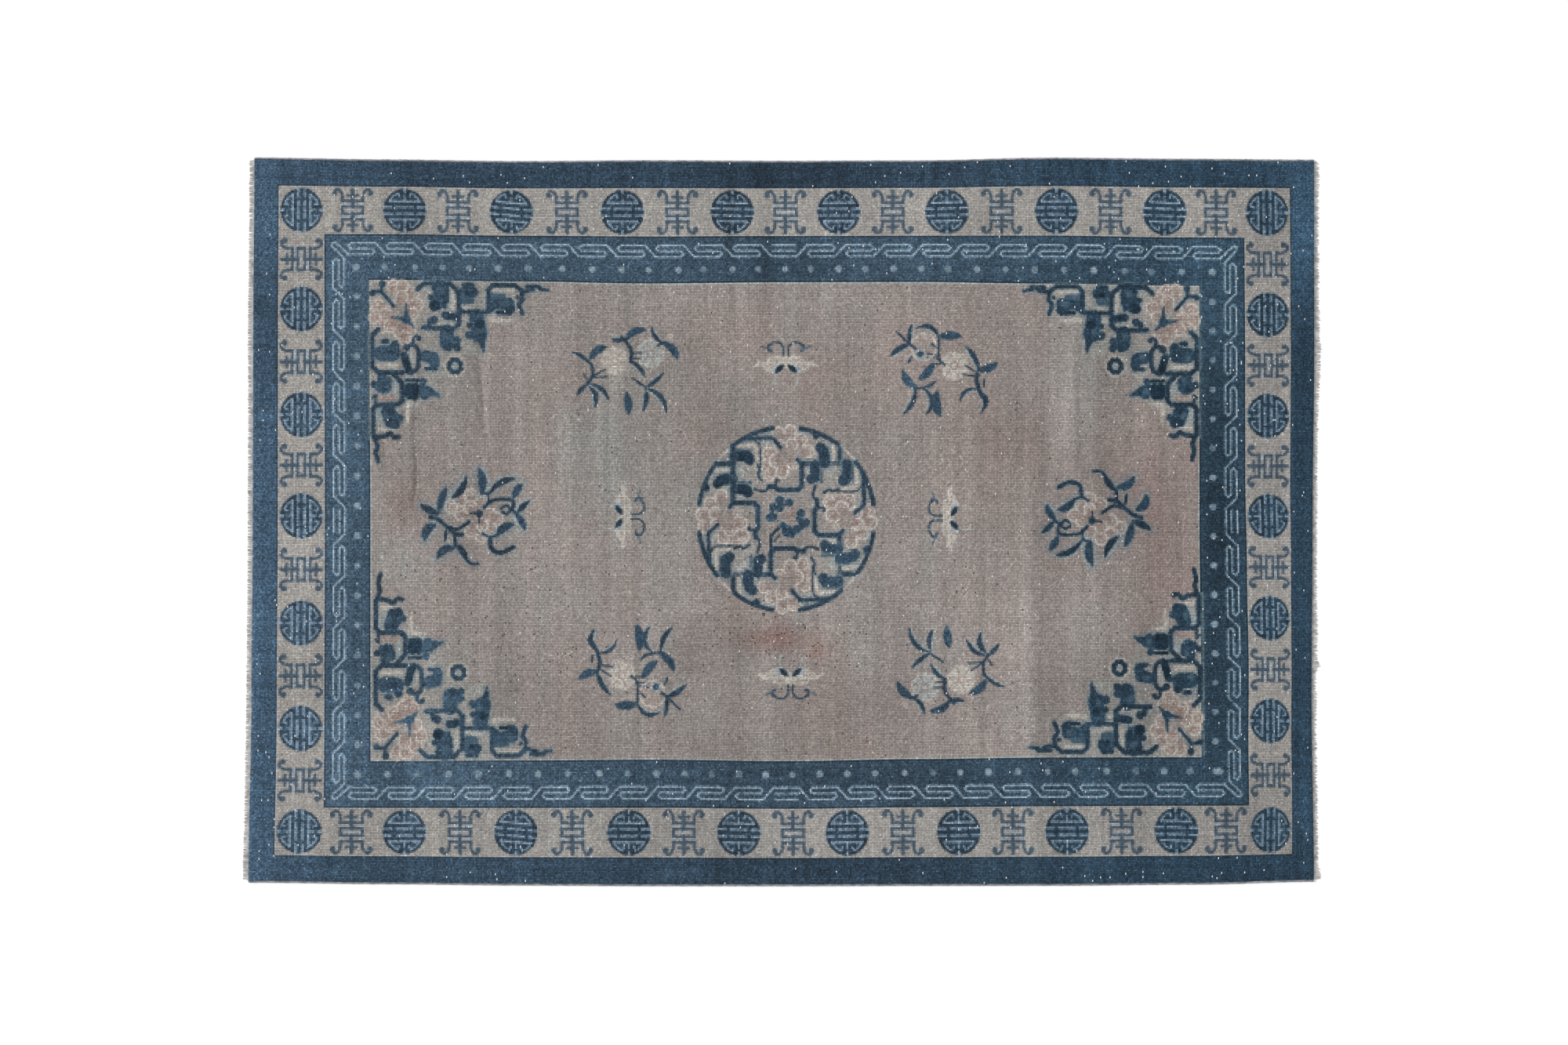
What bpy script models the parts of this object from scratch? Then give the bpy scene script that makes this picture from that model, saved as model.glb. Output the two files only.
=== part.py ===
"""A worn, low-pile wool rug lying flat, with overcast selvages and short cut warp ends.

Metres, +Z up. +X runs along the rug's length, +Y across it, and the rug lies on z = 0
with its box centred on the origin.
"""

import math

import bmesh
import bpy

# Driving sizes, in metres
PILE_LENGTH = 2.762
RUG_WIDTH = 1.888
PILE_THICKNESS = 0.0068
EDGE_THICKNESS = 0.0048
EDGE_ROUNDING = 0.006
SELVAGE_WIDTH = 0.0056
SELVAGE_THICKNESS = 0.0052
SELVAGE_FOOT_INSET = 0.0006
SELVAGE_SHOULDER = 0.3
SELVAGE_STEPS = 5
GAP = 0.0003
WEB_WIDTH = 0.003
WEB_THICKNESS = 0.0024
LOCK_THICKNESS = 0.0012
LOCK_ROOT_WIDTH = 0.0105
LOCK_TIP_WIDTH = 0.0050
LOCK_SLANT = 0.0016
LOCKS_PER_END = 110
COLUMNS = 44
ROWS = 30
MM = 0.001

# How far each edge wanders outwards from its straight line, in mm, at even steps:
# the long edges from the left end to the right, the short ones from the near side to the far
EDGE_WANDER = {
    "near": (-5.6, -1.5, 2.1, 3.8, 4.0, 3.0, 2.6, -0.3, -7.7),
    "far": (5.2, 0.5, -4.0, -1.7, -3.2, -2.1, 5.0, 2.1, -0.1),
    "left": (10.0, 2.0, -1.6, -2.7, -5.9),
    "right": (1.0, -5.1, -2.4, 2.0, 1.4),
}

# Soft creases and swells across the rug, in mm
CREASE_COLUMNS = ("x", "y_near", "y_far", "lean", "height", "half_width")
CREASES = (
    (-966, 90, 480, 0.03, 2.4, 17),
    (-768, 60, 480, -0.02, 1.8, 20),
    (-610, -620, 600, 0.02, 1.5, 70),
    (-130, -700, 700, -0.03, 1.7, 90),
    (300, -500, 300, 0.04, 1.2, 110),
    (640, -650, 650, 0.02, 1.6, 85),
    (766, 160, 460, 0.00, 1.6, 22),
    (1090, -560, -80, 0.05, 1.2, 60),
)
CREASE_FADE = 90

# Waves in the near edge, which lies least flat, in mm
WAVE_HEIGHT = 1.6
WAVE_LENGTH = 330
WAVE_REACH = 120

# The warp ends' mean length past the web, its evenness and the loose tufts, in mm
END_LENGTH = {"left": 9.6, "right": 6.0}
END_UNEVEN = {"left": 0.9, "right": 2.0}
TUFT_COLUMNS = ("y", "extra", "half_width")
TUFTS = {
    "left": ((-880, 1.6, 60), (-560, 1.4, 90), (500, 0.8, 120)),
    "right": (
        (-925, 7.0, 22),
        (-480, 2.0, 26),
        (-372, 9.0, 14),
        (-300, 3.0, 60),
        (430, 5.5, 90),
        (900, 2.0, 30),
    ),
}

# Colours, linear
PILE_BLUE = (0.040, 0.070, 0.105)
SELVAGE_MAUVE = (0.250, 0.235, 0.245)
COTTON_GREY = (0.480, 0.450, 0.430)


def clear_scene():
    for thing in list(bpy.data.objects):
        bpy.data.objects.remove(thing, do_unlink=True)


def cloth_material(name, colour):
    material = bpy.data.materials.new(name)
    material.use_nodes = True
    shader = material.node_tree.nodes["Principled BSDF"]
    shader.inputs["Base Color"].default_value = (*colour, 1.0)
    shader.inputs["Roughness"].default_value = 0.95
    shader.inputs["Metallic"].default_value = 0.0
    return material


def add_object(name, bm, material):
    bmesh.ops.recalc_face_normals(bm, faces=bm.faces)
    mesh = bpy.data.meshes.new(name)
    bm.to_mesh(mesh)
    bm.free()
    mesh.materials.append(material)
    thing = bpy.data.objects.new(name, mesh)
    bpy.context.scene.collection.objects.link(thing)
    return thing


def vertices_of(geometry):
    return [item for item in geometry if isinstance(item, bmesh.types.BMVert)]


def smooth_step(t):
    t = min(max(t, 0.0), 1.0)
    return t * t * (3 - 2 * t)


def wander(edge, t):
    """Outward wander of an edge at the share t of its length, in metres."""
    steps = EDGE_WANDER[edge]
    place = min(max(t, 0.0), 1.0) * (len(steps) - 1)
    index = min(int(place), len(steps) - 2)
    blend = smooth_step(place - index)
    return (steps[index] * (1 - blend) + steps[index + 1] * blend) * MM


def plan(u, v):
    """Place in plan of the point at the shares u of the pile's length and v of its width."""
    left = -PILE_LENGTH / 2 - wander("left", v)
    right = PILE_LENGTH / 2 + wander("right", v)
    near = -RUG_WIDTH / 2 - wander("near", u) + SELVAGE_WIDTH + GAP
    far = RUG_WIDTH / 2 + wander("far", u) - SELVAGE_WIDTH - GAP
    return left + (right - left) * u, near + (far - near) * v


def stations(count, length):
    """Even shares, with one more just inside each end for the rounded pile edge."""
    rim = EDGE_ROUNDING / length
    inner = [rim + (1 - 2 * rim) * i / count for i in range(count + 1)]
    return [0.0] + inner + [1.0]


LONG_STATIONS = stations(COLUMNS, PILE_LENGTH)
SHORT_STATIONS = stations(ROWS, RUG_WIDTH)


def relief(x, y):
    """Height of the creases, swells and edge waves above the flat pile."""
    x_mm = x / MM
    y_mm = y / MM
    height = 0.0
    for row in CREASES:
        crease = dict(zip(CREASE_COLUMNS, row))
        away = x_mm - crease["x"] - crease["lean"] * y_mm
        starts = smooth_step((y_mm - crease["y_near"]) / CREASE_FADE + 1)
        ends = smooth_step((crease["y_far"] - y_mm) / CREASE_FADE + 1)
        height += crease["height"] * starts * ends * math.exp(-((away / crease["half_width"]) ** 2))
    reach = (y_mm + RUG_WIDTH / 2 / MM) / WAVE_REACH
    wave = 0.5 - 0.5 * math.cos(2 * math.pi * x_mm / WAVE_LENGTH)
    height += WAVE_HEIGHT * wave * math.exp(-reach * reach)
    return height * MM


def rug_body(material):
    """The knotted cloth: one slab with a flat underside, a rounded rim and soft creases."""
    bm = bmesh.new()
    columns = len(LONG_STATIONS) - 1
    rows = len(SHORT_STATIONS) - 1
    bmesh.ops.create_grid(bm, x_segments=columns, y_segments=rows, size=0.5)
    for vert in bm.verts:
        i = round((vert.co.x + 0.5) * columns)
        j = round((vert.co.y + 0.5) * rows)
        x, y = plan(LONG_STATIONS[i], SHORT_STATIONS[j])
        on_rim = i in (0, columns) or j in (0, rows)
        height = EDGE_THICKNESS if on_rim else PILE_THICKNESS + relief(x, y)
        vert.co = (x, y, height)
    rim = [edge for edge in bm.edges if edge.is_boundary]
    wall = bmesh.ops.extrude_edge_only(bm, edges=rim)["geom"]
    for vert in vertices_of(wall):
        vert.co.z = 0.0
    foot = [edge for edge in bm.edges if edge.is_boundary]
    bmesh.ops.contextual_create(bm, geom=foot)
    body = add_object("rug_body", bm, material)
    body.data.shade_smooth()
    body.data.set_sharp_from_angle(angle=math.radians(30))
    return body


def selvage_section():
    """Half-round section on a flat foot: share across the cord, and height."""
    half = SELVAGE_WIDTH / 2
    arch = []
    for step in range(SELVAGE_STEPS + 1):
        angle = math.pi * step / SELVAGE_STEPS
        share = SELVAGE_SHOULDER + (1 - SELVAGE_SHOULDER) * math.sin(angle)
        arch.append((half - half * math.cos(angle), SELVAGE_THICKNESS * share))
    foot_end = SELVAGE_WIDTH - SELVAGE_FOOT_INSET
    return [(SELVAGE_FOOT_INSET, 0.0), *arch, (foot_end, 0.0)]


def selvage(name, edge, material):
    """The overcast cord along one long edge, outside the pile."""
    outwards = -1 if edge == "near" else 1
    v = 0.0 if edge == "near" else 1.0
    bm = bmesh.new()
    rings = []
    for u in LONG_STATIONS:
        x, y = plan(u, v)
        ring = []
        for across, height in selvage_section():
            ring.append(bm.verts.new((x, y + outwards * (GAP + across), height)))
        rings.append(ring)
    for first, second in zip(rings, rings[1:]):
        for k in range(len(first)):
            after = (k + 1) % len(first)
            bm.faces.new((first[k], first[after], second[after], second[k]))
    bm.faces.new(rings[0])
    bm.faces.new(rings[-1])
    cord = add_object(name, bm, material)
    cord.data.shade_smooth()
    cord.data.set_sharp_from_angle(angle=math.radians(50))
    return cord


def end_line(end, y_share):
    """Place in plan on the pile's short edge, straight between the slab's own corners."""
    u = 0.0 if end == "left" else 1.0
    for low, high in zip(SHORT_STATIONS, SHORT_STATIONS[1:]):
        if y_share <= high:
            break
    blend = (y_share - low) / (high - low)
    x_low, y_low = plan(u, low)
    x_high, y_high = plan(u, high)
    return x_low + (x_high - x_low) * blend, y_low + (y_high - y_low) * blend


def lock_length(end, index, y):
    """Length of one lock: the end's mean, a little uneven, longer in the tufts."""
    short_turn = math.sin(2.4 * index)
    long_turn = math.sin(0.83 * index + 1.0)
    length = END_LENGTH[end] + END_UNEVEN[end] * (0.6 * short_turn + 0.4 * long_turn)
    for row in TUFTS[end]:
        tuft = dict(zip(TUFT_COLUMNS, row))
        length += tuft["extra"] * math.exp(-(((y / MM - tuft["y"]) / tuft["half_width"]) ** 2))
    return length * MM


def warp_ends(name, end, material):
    """A narrow web along one short edge with its cut locks, all level on the ground."""
    outwards = -1 if end == "left" else 1
    bm = bmesh.new()
    inner = []
    for share in SHORT_STATIONS:
        x, y = end_line(end, share)
        inner.append(bm.verts.new((x + outwards * GAP, y, 0.0)))
    outer = []
    tip_places = set()
    for index in range(LOCKS_PER_END):
        share = (index + 0.5) / LOCKS_PER_END
        x, y = end_line(end, share)
        root = x + outwards * (GAP + WEB_WIDTH)
        tip = root + outwards * lock_length(end, index, y)
        slant = LOCK_SLANT * math.sin(1.9 * index)
        corners = (
            (root, y - LOCK_ROOT_WIDTH / 2),
            (tip, y - LOCK_TIP_WIDTH / 2 + slant),
            (tip, y + LOCK_TIP_WIDTH / 2 + slant),
            (root, y + LOCK_ROOT_WIDTH / 2),
        )
        made = [bm.verts.new((*corner, 0.0)) for corner in corners]
        outer.extend(made)
        tip_places.update(tuple(vert.co.xy) for vert in made[1:3])
    foot = bm.faces.new(inner + outer[::-1])
    raised = bmesh.ops.extrude_face_region(bm, geom=[foot], use_keep_orig=True)["geom"]
    for vert in vertices_of(raised):
        at_tip = tuple(vert.co.xy) in tip_places
        vert.co.z = LOCK_THICKNESS if at_tip else WEB_THICKNESS
    return add_object(name, bm, material)


def centre_on_origin(things):
    """Moves every mesh by one step, so that the rug's box is centred on the origin."""
    points = [vert.co for thing in things for vert in thing.data.vertices]
    middle_x = (min(p.x for p in points) + max(p.x for p in points)) / 2
    middle_y = (min(p.y for p in points) + max(p.y for p in points)) / 2
    for thing in things:
        for vert in thing.data.vertices:
            vert.co.x -= middle_x
            vert.co.y -= middle_y


def build():
    clear_scene()
    pile = cloth_material("pile_wool", PILE_BLUE)
    yarn = cloth_material("selvage_yarn", SELVAGE_MAUVE)
    cotton = cloth_material("warp_cotton", COTTON_GREY)
    things = [
        rug_body(pile),
        selvage("selvage_near", "near", yarn),
        selvage("selvage_far", "far", yarn),
        warp_ends("warp_ends_left", "left", cotton),
        warp_ends("warp_ends_right", "right", cotton),
    ]
    centre_on_origin(things)


build()
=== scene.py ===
import math

import bmesh
import bpy
import numpy as np
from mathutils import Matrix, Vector


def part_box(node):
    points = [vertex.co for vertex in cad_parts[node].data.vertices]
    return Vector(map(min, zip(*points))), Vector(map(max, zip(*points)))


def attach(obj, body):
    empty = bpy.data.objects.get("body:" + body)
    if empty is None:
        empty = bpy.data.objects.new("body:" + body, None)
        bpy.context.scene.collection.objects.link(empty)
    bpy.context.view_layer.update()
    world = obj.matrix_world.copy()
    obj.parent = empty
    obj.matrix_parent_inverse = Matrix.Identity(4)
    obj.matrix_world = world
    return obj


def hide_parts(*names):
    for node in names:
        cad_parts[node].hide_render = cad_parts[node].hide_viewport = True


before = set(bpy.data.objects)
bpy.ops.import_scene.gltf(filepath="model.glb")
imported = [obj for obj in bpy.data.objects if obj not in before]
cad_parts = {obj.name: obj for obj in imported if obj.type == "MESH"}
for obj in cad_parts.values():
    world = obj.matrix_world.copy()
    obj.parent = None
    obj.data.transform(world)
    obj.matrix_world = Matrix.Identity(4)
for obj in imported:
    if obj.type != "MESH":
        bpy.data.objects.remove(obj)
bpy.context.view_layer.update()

MM = 0.001

# The rug's driving sizes, in metres, as in the part's source
PILE_LENGTH = 2.762
RUG_WIDTH = 1.888
PILE_THICKNESS = 0.0068
EDGE_THICKNESS = 0.0048
SELVAGE_WIDTH = 0.0056
SELVAGE_THICKNESS = 0.0052
GAP = 0.0003
WEB_WIDTH = 0.003
EDGE_WANDER = {
    "near": (-5.6, -1.5, 2.1, 3.8, 4.0, 3.0, 2.6, -0.3, -7.7),
    "far": (5.2, 0.5, -4.0, -1.7, -3.2, -2.1, 5.0, 2.1, -0.1),
    "left": (10.0, 2.0, -1.6, -2.7, -5.9),
    "right": (1.0, -5.1, -2.4, 2.0, 1.4),
}
CREASE_COLUMNS = ("x", "y_near", "y_far", "lean", "height", "half_width")
CREASES = (
    (-966, 90, 480, 0.03, 2.4, 17),
    (-768, 60, 480, -0.02, 1.8, 20),
    (-610, -620, 600, 0.02, 1.5, 70),
    (-130, -700, 700, -0.03, 1.7, 90),
    (300, -500, 300, 0.04, 1.2, 110),
    (640, -650, 650, 0.02, 1.6, 85),
    (766, 160, 460, 0.00, 1.6, 22),
    (1090, -560, -80, 0.05, 1.2, 60),
)
CREASE_FADE = 90
WAVE_HEIGHT = 1.6
WAVE_LENGTH = 330
WAVE_REACH = 120

# Sharper folds in the pile, on and near those creases, in mm
FOLD_COLUMNS = ("x", "y_near", "y_far", "lean", "bend", "strength")
FOLDS = (
    (-966, 60, 330, 0.03, 4.0, 1.0),
    (-998, 250, 520, 0.03, 5.0, 0.8),
    (-1024, 160, 210, -0.10, 1.0, 0.6),
    (-777, 250, 470, -0.03, 2.0, 0.9),
    (-757, 40, 230, -0.06, 3.0, 0.5),
    (766, 160, 460, 0.00, 1.0, 0.5),
    (-985, -420, -250, 0.08, 3.0, 0.35),
    (-130, 560, 860, 0.0, 2.0, 0.25),
)
FOLD_FADE = 40
FOLD_HALF_WIDTH = 6.0
FOLD_HEIGHT = 1.3
FOLD_WAVE = 38.0
# Strength of the painted shade on the dark side of each fold and of the painted light on its pale side
FOLD_PAINTED_SHADE = 0.36
FOLD_PAINTED_LIGHT = 0.25

# Painted shade and painted light beside a fold: how far aside and the half-width, in mm, on its dark and
# on its pale side
FOLD_SHADE_SIDE = (-7, 8.5)
FOLD_LIGHT_SIDE = (4, 4.5)

# How far the field's own edges wander outwards, in mm
FIELD_WANDER = {
    "near": (1.0, 1.0, -1.0, -3.1, 1.0, -4.5, -8.6, -9.2, -7.1),
    "far": (7.1, 9.2, 5.1, 0.0, 3.1, 3.7, -0.4, -6.1, -7.1),
    "left": (-3.4, -3.3, -3.1, -0.7, 1.7),
    "right": (18.1, 12.0, 7.9, 7.2, 6.6),
}

# How far the right end's border bulges outwards between its own two edges, in mm
RIGHT_BULGE = (6.0, 11.0, 13.5, 10.0, 5.3, 4.0, 2.4, 0.0)

# The knot chart: knots from the left end, and rows from the far edge
KNOTS = 680
ROWS = 444
OUTER_BAND = 16
MAIN_BAND = 46
BORDER = 75
CHAIN_ROW = 51.6
CHAIN_DEPTH = 7.2
PEARL_ROW = 66.7
CENTRE = (KNOTS / 2, ROWS / 2)
KNOT_LONG = PILE_LENGTH / KNOTS
KNOT_WIDE = (RUG_WIDTH - 2 * SELVAGE_WIDTH - 2 * GAP) / ROWS
PANELS = 4
KNOT_UNEVEN = 0.00022
FOUNDATION_TOP = 0.0018
BACK_STEP = 2
BACK_RIDGE = 0.00012
GROUND_GAP = 0.0002

# How ragged the drawn edges are, and how much wider a line's soft halo is, in knots
RAGGED = 0.13
HALO = 3.4
SPRAY_HALO = 3

# The wool's dyes, sRGB 0 to 255, before wear
DYES = {
    "outer blue": (52, 71, 88),
    "inner blue": (64, 84, 101),
    "dark edge": (46, 63, 79),
    "ring navy": (43, 60, 75),
    "roundel blue": (50, 68, 84),
    "roundel line": (146, 165, 181),
    "ornament blue": (71, 87, 101),
    "soft line": (156, 165, 173),
    "chain line": (160, 180, 194),
    "pearl": (142, 160, 172),
    "beige": (157, 154, 150),
    "pale edge": (156, 160, 158),
    "field": (146, 139, 135),
    "deep leaf": (34, 52, 66),
    "navy": (47, 65, 80),
    "leaf blue": (55, 76, 93),
    "faded leaf": (70, 92, 108),
    "leaf shade": (145, 154, 156),
    "soft teal": (116, 136, 146),
    "pale green": (157, 160, 156),
    "ivory": (178, 173, 165),
    "pale flower": (157, 161, 159),
    "peony pink": (152, 134, 127),
    "peony blush": (145, 130, 125),
    "peony cream": (184, 178, 171),
    "blush": (152, 143, 138),
    "cotton speck": (215, 216, 215),
    "dark speck": (84, 78, 76),
}
BLUES = (
    "outer blue", "inner blue", "dark edge", "ring navy",
    "roundel blue", "navy", "deep leaf", "leaf blue",
)

# The light on the rug, which the dyes are divided by
LIGHT_GAIN = 1.19

# Ornaments of the main border, in knots along each side
ROUNDELS_FAR = (31, 98, 166, 237, 307, 375, 444, 514, 583, 649)
ROUNDELS_NEAR = (30, 96.5, 167.5, 239.5, 309.5, 378.5, 449.5, 518.5, 588, 651)
ROUNDELS_LEFT = (31, 92.5, 157, 219, 284.5, 349, 413)
ROUNDELS_RIGHT = (31, 93, 156, 218.5, 282, 346, 413)
ROUNDEL_RADIUS = 13.7
ROUNDEL_LEANS = (0.0, 0.09, 0.0, 0.02, 0.0, -0.02, 0.0, 0.03)

# The key chain: one link as shares of its period of 24 knots and of its depth
CHAIN_LINK = ((0, 1), (15.5, 1), (17.2, 0.76), (15.6, 0.5), (1.5, 0.5), (0.2, 0.24), (2.5, 0), (17.5, 0))
CHAIN_PERIOD = 24.9
CHAIN_MIDDLE = 8

# Pearls along each side, in knots
PEARLS_FAR = (
    66.2, 84.8, 104.3, 121.8, 138.8, 157.3, 176.3, 198.4, 217.4, 236.4, 253.4, 272.4, 288.5, 307,
    323.5, 340.5, 357, 374.6, 391.6, 409.6, 427.6, 444.6, 463.2, 481.2, 499.7, 518.7, 537.7,
    557.2, 574.3, 593.8, 612.5,
)
PEARLS_NEAR = (
    67.2, 85.8, 104.8, 124.8, 143.8, 163.3, 181.9, 200.9, 220.9, 238.9, 257.4, 275.5, 292.5, 310,
    327, 344, 361.5, 379.1, 396.6, 415.6, 433.6, 451.2, 468.7, 487.7, 506.7, 524.2, 544.3,
    562.8, 580.8, 597.3, 615.8,
)
PEARLS_SIDE = tuple(PEARL_ROW + index * (ROWS - 2 * PEARL_ROW) / 17 for index in range(18))

random = np.random.default_rng(7)


# Plan and relief of the lying rug


def soft_step(t):
    t = np.clip(t, 0.0, 1.0)
    return t * t * (3 - 2 * t)


def along(steps, t):
    """Reads a table of even steps at the shares t, easing from one to the next."""
    table = np.asarray(steps, float)
    place = np.clip(t, 0.0, 1.0) * (len(table) - 1)
    index = np.minimum(place.astype(int), len(table) - 2)
    blend = soft_step(place - index)
    return table[index] * (1 - blend) + table[index + 1] * blend


def across_lines(share, edge_low, field_low, field_high, edge_high, border_share):
    """Place between four lines: the two outer edges and the field's two edges."""
    inner = 1 - 2 * border_share
    low = edge_low + (field_low - edge_low) * share / border_share
    middle = field_low + (field_high - field_low) * (share - border_share) / inner
    high = field_high + (edge_high - field_high) * (share - 1 + border_share) / border_share
    return np.where(share < border_share, low, np.where(share > 1 - border_share, high, middle))


def straight_plan(u, v):
    """Plan before the shift to the rug's own centre, at shares u of length and v of width."""
    half_long = PILE_LENGTH / 2
    half_wide = RUG_WIDTH / 2
    field_long = half_long * (1 - 2 * BORDER / KNOTS)
    inset = SELVAGE_WIDTH + GAP
    field_wide = (half_wide - inset) * (1 - 2 * BORDER / ROWS)
    x = across_lines(
        u,
        -half_long - along(EDGE_WANDER["left"], v) * MM,
        -field_long - along(FIELD_WANDER["left"], v) * MM,
        field_long + along(FIELD_WANDER["right"], v) * MM,
        half_long + along(EDGE_WANDER["right"], v) * MM,
        BORDER / KNOTS,
    )
    in_border = np.clip((1 - u) * KNOTS / BORDER, 0, 1)
    x = x + along(RIGHT_BULGE, v) * MM * 4 * in_border * (1 - in_border)
    y = across_lines(
        v,
        -half_wide - along(EDGE_WANDER["near"], u) * MM + inset,
        -field_wide - along(FIELD_WANDER["near"], u) * MM,
        field_wide + along(FIELD_WANDER["far"], u) * MM,
        half_wide + along(EDGE_WANDER["far"], u) * MM - inset,
        BORDER / ROWS,
    )
    return x, y


def plan_shift():
    """Step from the table's centre to the frame's, read from the rug's solid."""
    edge = np.linspace(0, 1, 401)
    left = straight_plan(np.zeros_like(edge), edge)[0].min()
    far = straight_plan(edge, np.ones_like(edge))[1].max()
    low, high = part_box("rug_body")
    return low[0] - left, high[1] - far


SHIFT_X, SHIFT_Y = plan_shift()


def plan(u, v):
    x, y = straight_plan(np.asarray(u, float), np.asarray(v, float))
    return x + SHIFT_X, y + SHIFT_Y


def along_line(line, y_mm, fade):
    """1 along a crease or fold, easing to 0 past its two ends."""
    starts = soft_step((y_mm - line["y_near"]) / fade + 1)
    return starts * soft_step((line["y_far"] - y_mm) / fade + 1)


def fold_reach(row, x_mm, y_mm):
    """Distance from a sharp fold, bent a little, and its strength from 0 to 1 along it."""
    fold = dict(zip(FOLD_COLUMNS, row))
    bend = fold["bend"] * np.sin((y_mm - fold["y_near"]) / FOLD_WAVE)
    away = x_mm - fold["x"] - fold["lean"] * y_mm - bend
    return away, fold["strength"] * along_line(fold, y_mm, FOLD_FADE)


def relief(x, y):
    """Height of the creases, swells and edge waves above the flat pile."""
    x_mm = (x - SHIFT_X) / MM
    y_mm = (y - SHIFT_Y) / MM
    height = np.zeros_like(x_mm)
    for row in CREASES:
        crease = dict(zip(CREASE_COLUMNS, row))
        away = x_mm - crease["x"] - crease["lean"] * y_mm
        bulge = np.exp(-((away / crease["half_width"]) ** 2))
        height += crease["height"] * along_line(crease, y_mm, CREASE_FADE) * bulge
    for row in FOLDS:
        away, strength = fold_reach(row, x_mm, y_mm)
        height += FOLD_HEIGHT * strength * np.exp(-((away / FOLD_HALF_WIDTH) ** 2))
    reach = (y_mm + RUG_WIDTH / 2 / MM) / WAVE_REACH
    wave = 0.5 - 0.5 * np.cos(2 * math.pi * x_mm / WAVE_LENGTH)
    return (height + WAVE_HEIGHT * wave * np.exp(-reach * reach)) * MM


# Drawing on the knot chart: each knot holds its dye in sRGB, and how far it is blue or bare ground

row_grid, knot_grid = np.mgrid[0:ROWS, 0:KNOTS] + 0.5
knot_grid += random.normal(0, RAGGED, knot_grid.shape)
row_grid += random.normal(0, RAGGED, row_grid.shape)


def dye_values(name):
    return np.array((*DYES[name], 255.0 * (name in BLUES), 255.0 * (name == "field")))


chart = np.zeros((ROWS, KNOTS, 5)) + dye_values("field")


class Place:
    """Where a motif goes on the chart: its centre, quarter turns, mirroring, lean and stretch."""

    def __init__(self, x, y, turns=0, flip_x=False, flip_y=False, lean=0.0, stretch=(1.0, 1.0)):
        self.x, self.y = x, y
        self.turns = turns % 4
        self.scale_x = -stretch[0] if flip_x else stretch[0]
        self.scale_y = -stretch[1] if flip_y else stretch[1]
        self.lean = lean

    def point(self, x, y):
        x, y = x * self.scale_x, y * self.scale_y + x * self.lean
        for _ in range(self.turns):
            x, y = -y, x
        return self.x + x, self.y + y

    def points(self, rows):
        return [self.point(x, y) for x, y in rows]


def window(points, margin):
    """The part of the chart near these points, as slices and its knots' places."""
    xs = [p[0] for p in points]
    ys = [p[1] for p in points]
    left = max(int(min(xs) - margin), 0)
    right = min(int(max(xs) + margin) + 2, KNOTS)
    top = max(int(min(ys) - margin), 0)
    bottom = min(int(max(ys) + margin) + 2, ROWS)
    part = (slice(top, bottom), slice(left, right))
    return part, knot_grid[part], row_grid[part]


def paint(part, outside, dye, strength=1.0):
    """Dyes the knots of a part whose distance outside the shape is under half a knot."""
    cover = np.clip(0.5 - outside, 0, 1)[..., None] * strength
    chart[part] += (dye_values(dye) - chart[part]) * cover


def disc(place, x, y, radius, dye, strength=1.0):
    centre = place.point(x, y)
    part, kx, ky = window([centre], radius + 1)
    paint(part, np.hypot(kx - centre[0], ky - centre[1]) - radius, dye, strength)


def segment_gap(kx, ky, start, end, wide_start, wide_end):
    """Distance of knots from a bar between two points, whose width changes along it."""
    dx, dy = end[0] - start[0], end[1] - start[1]
    length = max(dx * dx + dy * dy, 1e-9)
    t = np.clip(((kx - start[0]) * dx + (ky - start[1]) * dy) / length, 0, 1)
    away = np.hypot(kx - start[0] - t * dx, ky - start[1] - t * dy)
    return away - (wide_start + (wide_end - wide_start) * t) / 2


def sweep(place, rows, widths, dye, strength=1.0):
    """A line through the points with its own width at each."""
    points = place.points(rows)
    part, kx, ky = window(points, max(widths))
    outside = np.full(kx.shape, 99.0)
    for start, end, wide_start, wide_end in zip(points, points[1:], widths, widths[1:]):
        outside = np.minimum(outside, segment_gap(kx, ky, start, end, wide_start, wide_end))
    paint(part, outside, dye, strength)


def stroke(place, rows, width, dye, strength=1.0):
    sweep(place, rows, [width] * len(rows), dye, strength)


def rounded(rows, steps=6):
    """A smooth run through the points, as a Catmull-Rom curve."""
    points = [rows[0], *rows, rows[-1]]
    run = []
    for a, b, c, d in zip(points, points[1:], points[2:], points[3:]):
        for step in range(steps):
            t = step / steps
            place_at = []
            for p, q, r, s in zip(a, b, c, d):
                square = (2 * p - 5 * q + 4 * r - s) * t * t
                cube = (3 * q - p - 3 * r + s) * t**3
                place_at.append(0.5 * (2 * q + (r - p) * t + square + cube))
            run.append(tuple(place_at))
    return [*run, rows[-1]]


def curl(place, rows, width, dye, strength=1.0):
    """A smooth line."""
    stroke(place, rounded(rows), width, dye, strength)


def filled(place, rows, dye, strength=1.0):
    """A closed outline, filled by the even-odd rule."""
    points = place.points(rows)
    part, kx, ky = window(points, 1)
    inside = np.zeros(kx.shape, bool)
    away = np.full(kx.shape, 99.0)
    for (ax, ay), (bx, by) in zip(points, points[1:] + points[:1]):
        away = np.minimum(away, segment_gap(kx, ky, (ax, ay), (bx, by), 0, 0))
        if ay == by:
            continue
        crosses = (ay > ky) != (by > ky)
        inside ^= crosses & (kx < (bx - ax) * (ky - ay) / (by - ay) + ax)
    paint(part, np.where(inside, -away, away), dye, strength)


def mirrored(rows, hand, side=1):
    return [(hand * x, side * y) for x, y in rows]


def halo(place, lines, strength, more=HALO):
    """A soft teal edge under lines, from rows of points and width."""
    for rows, width in lines:
        stroke(place, rows, width + more, "soft teal", strength)


def arc_rows(radius, start, end, x=0.0, y=0.0, steps=12):
    rows = []
    for step in range(steps + 1):
        angle = math.radians(start + (end - start) * step / steps)
        rows.append((x + radius * math.cos(angle), y + radius * math.sin(angle)))
    return rows


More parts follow.
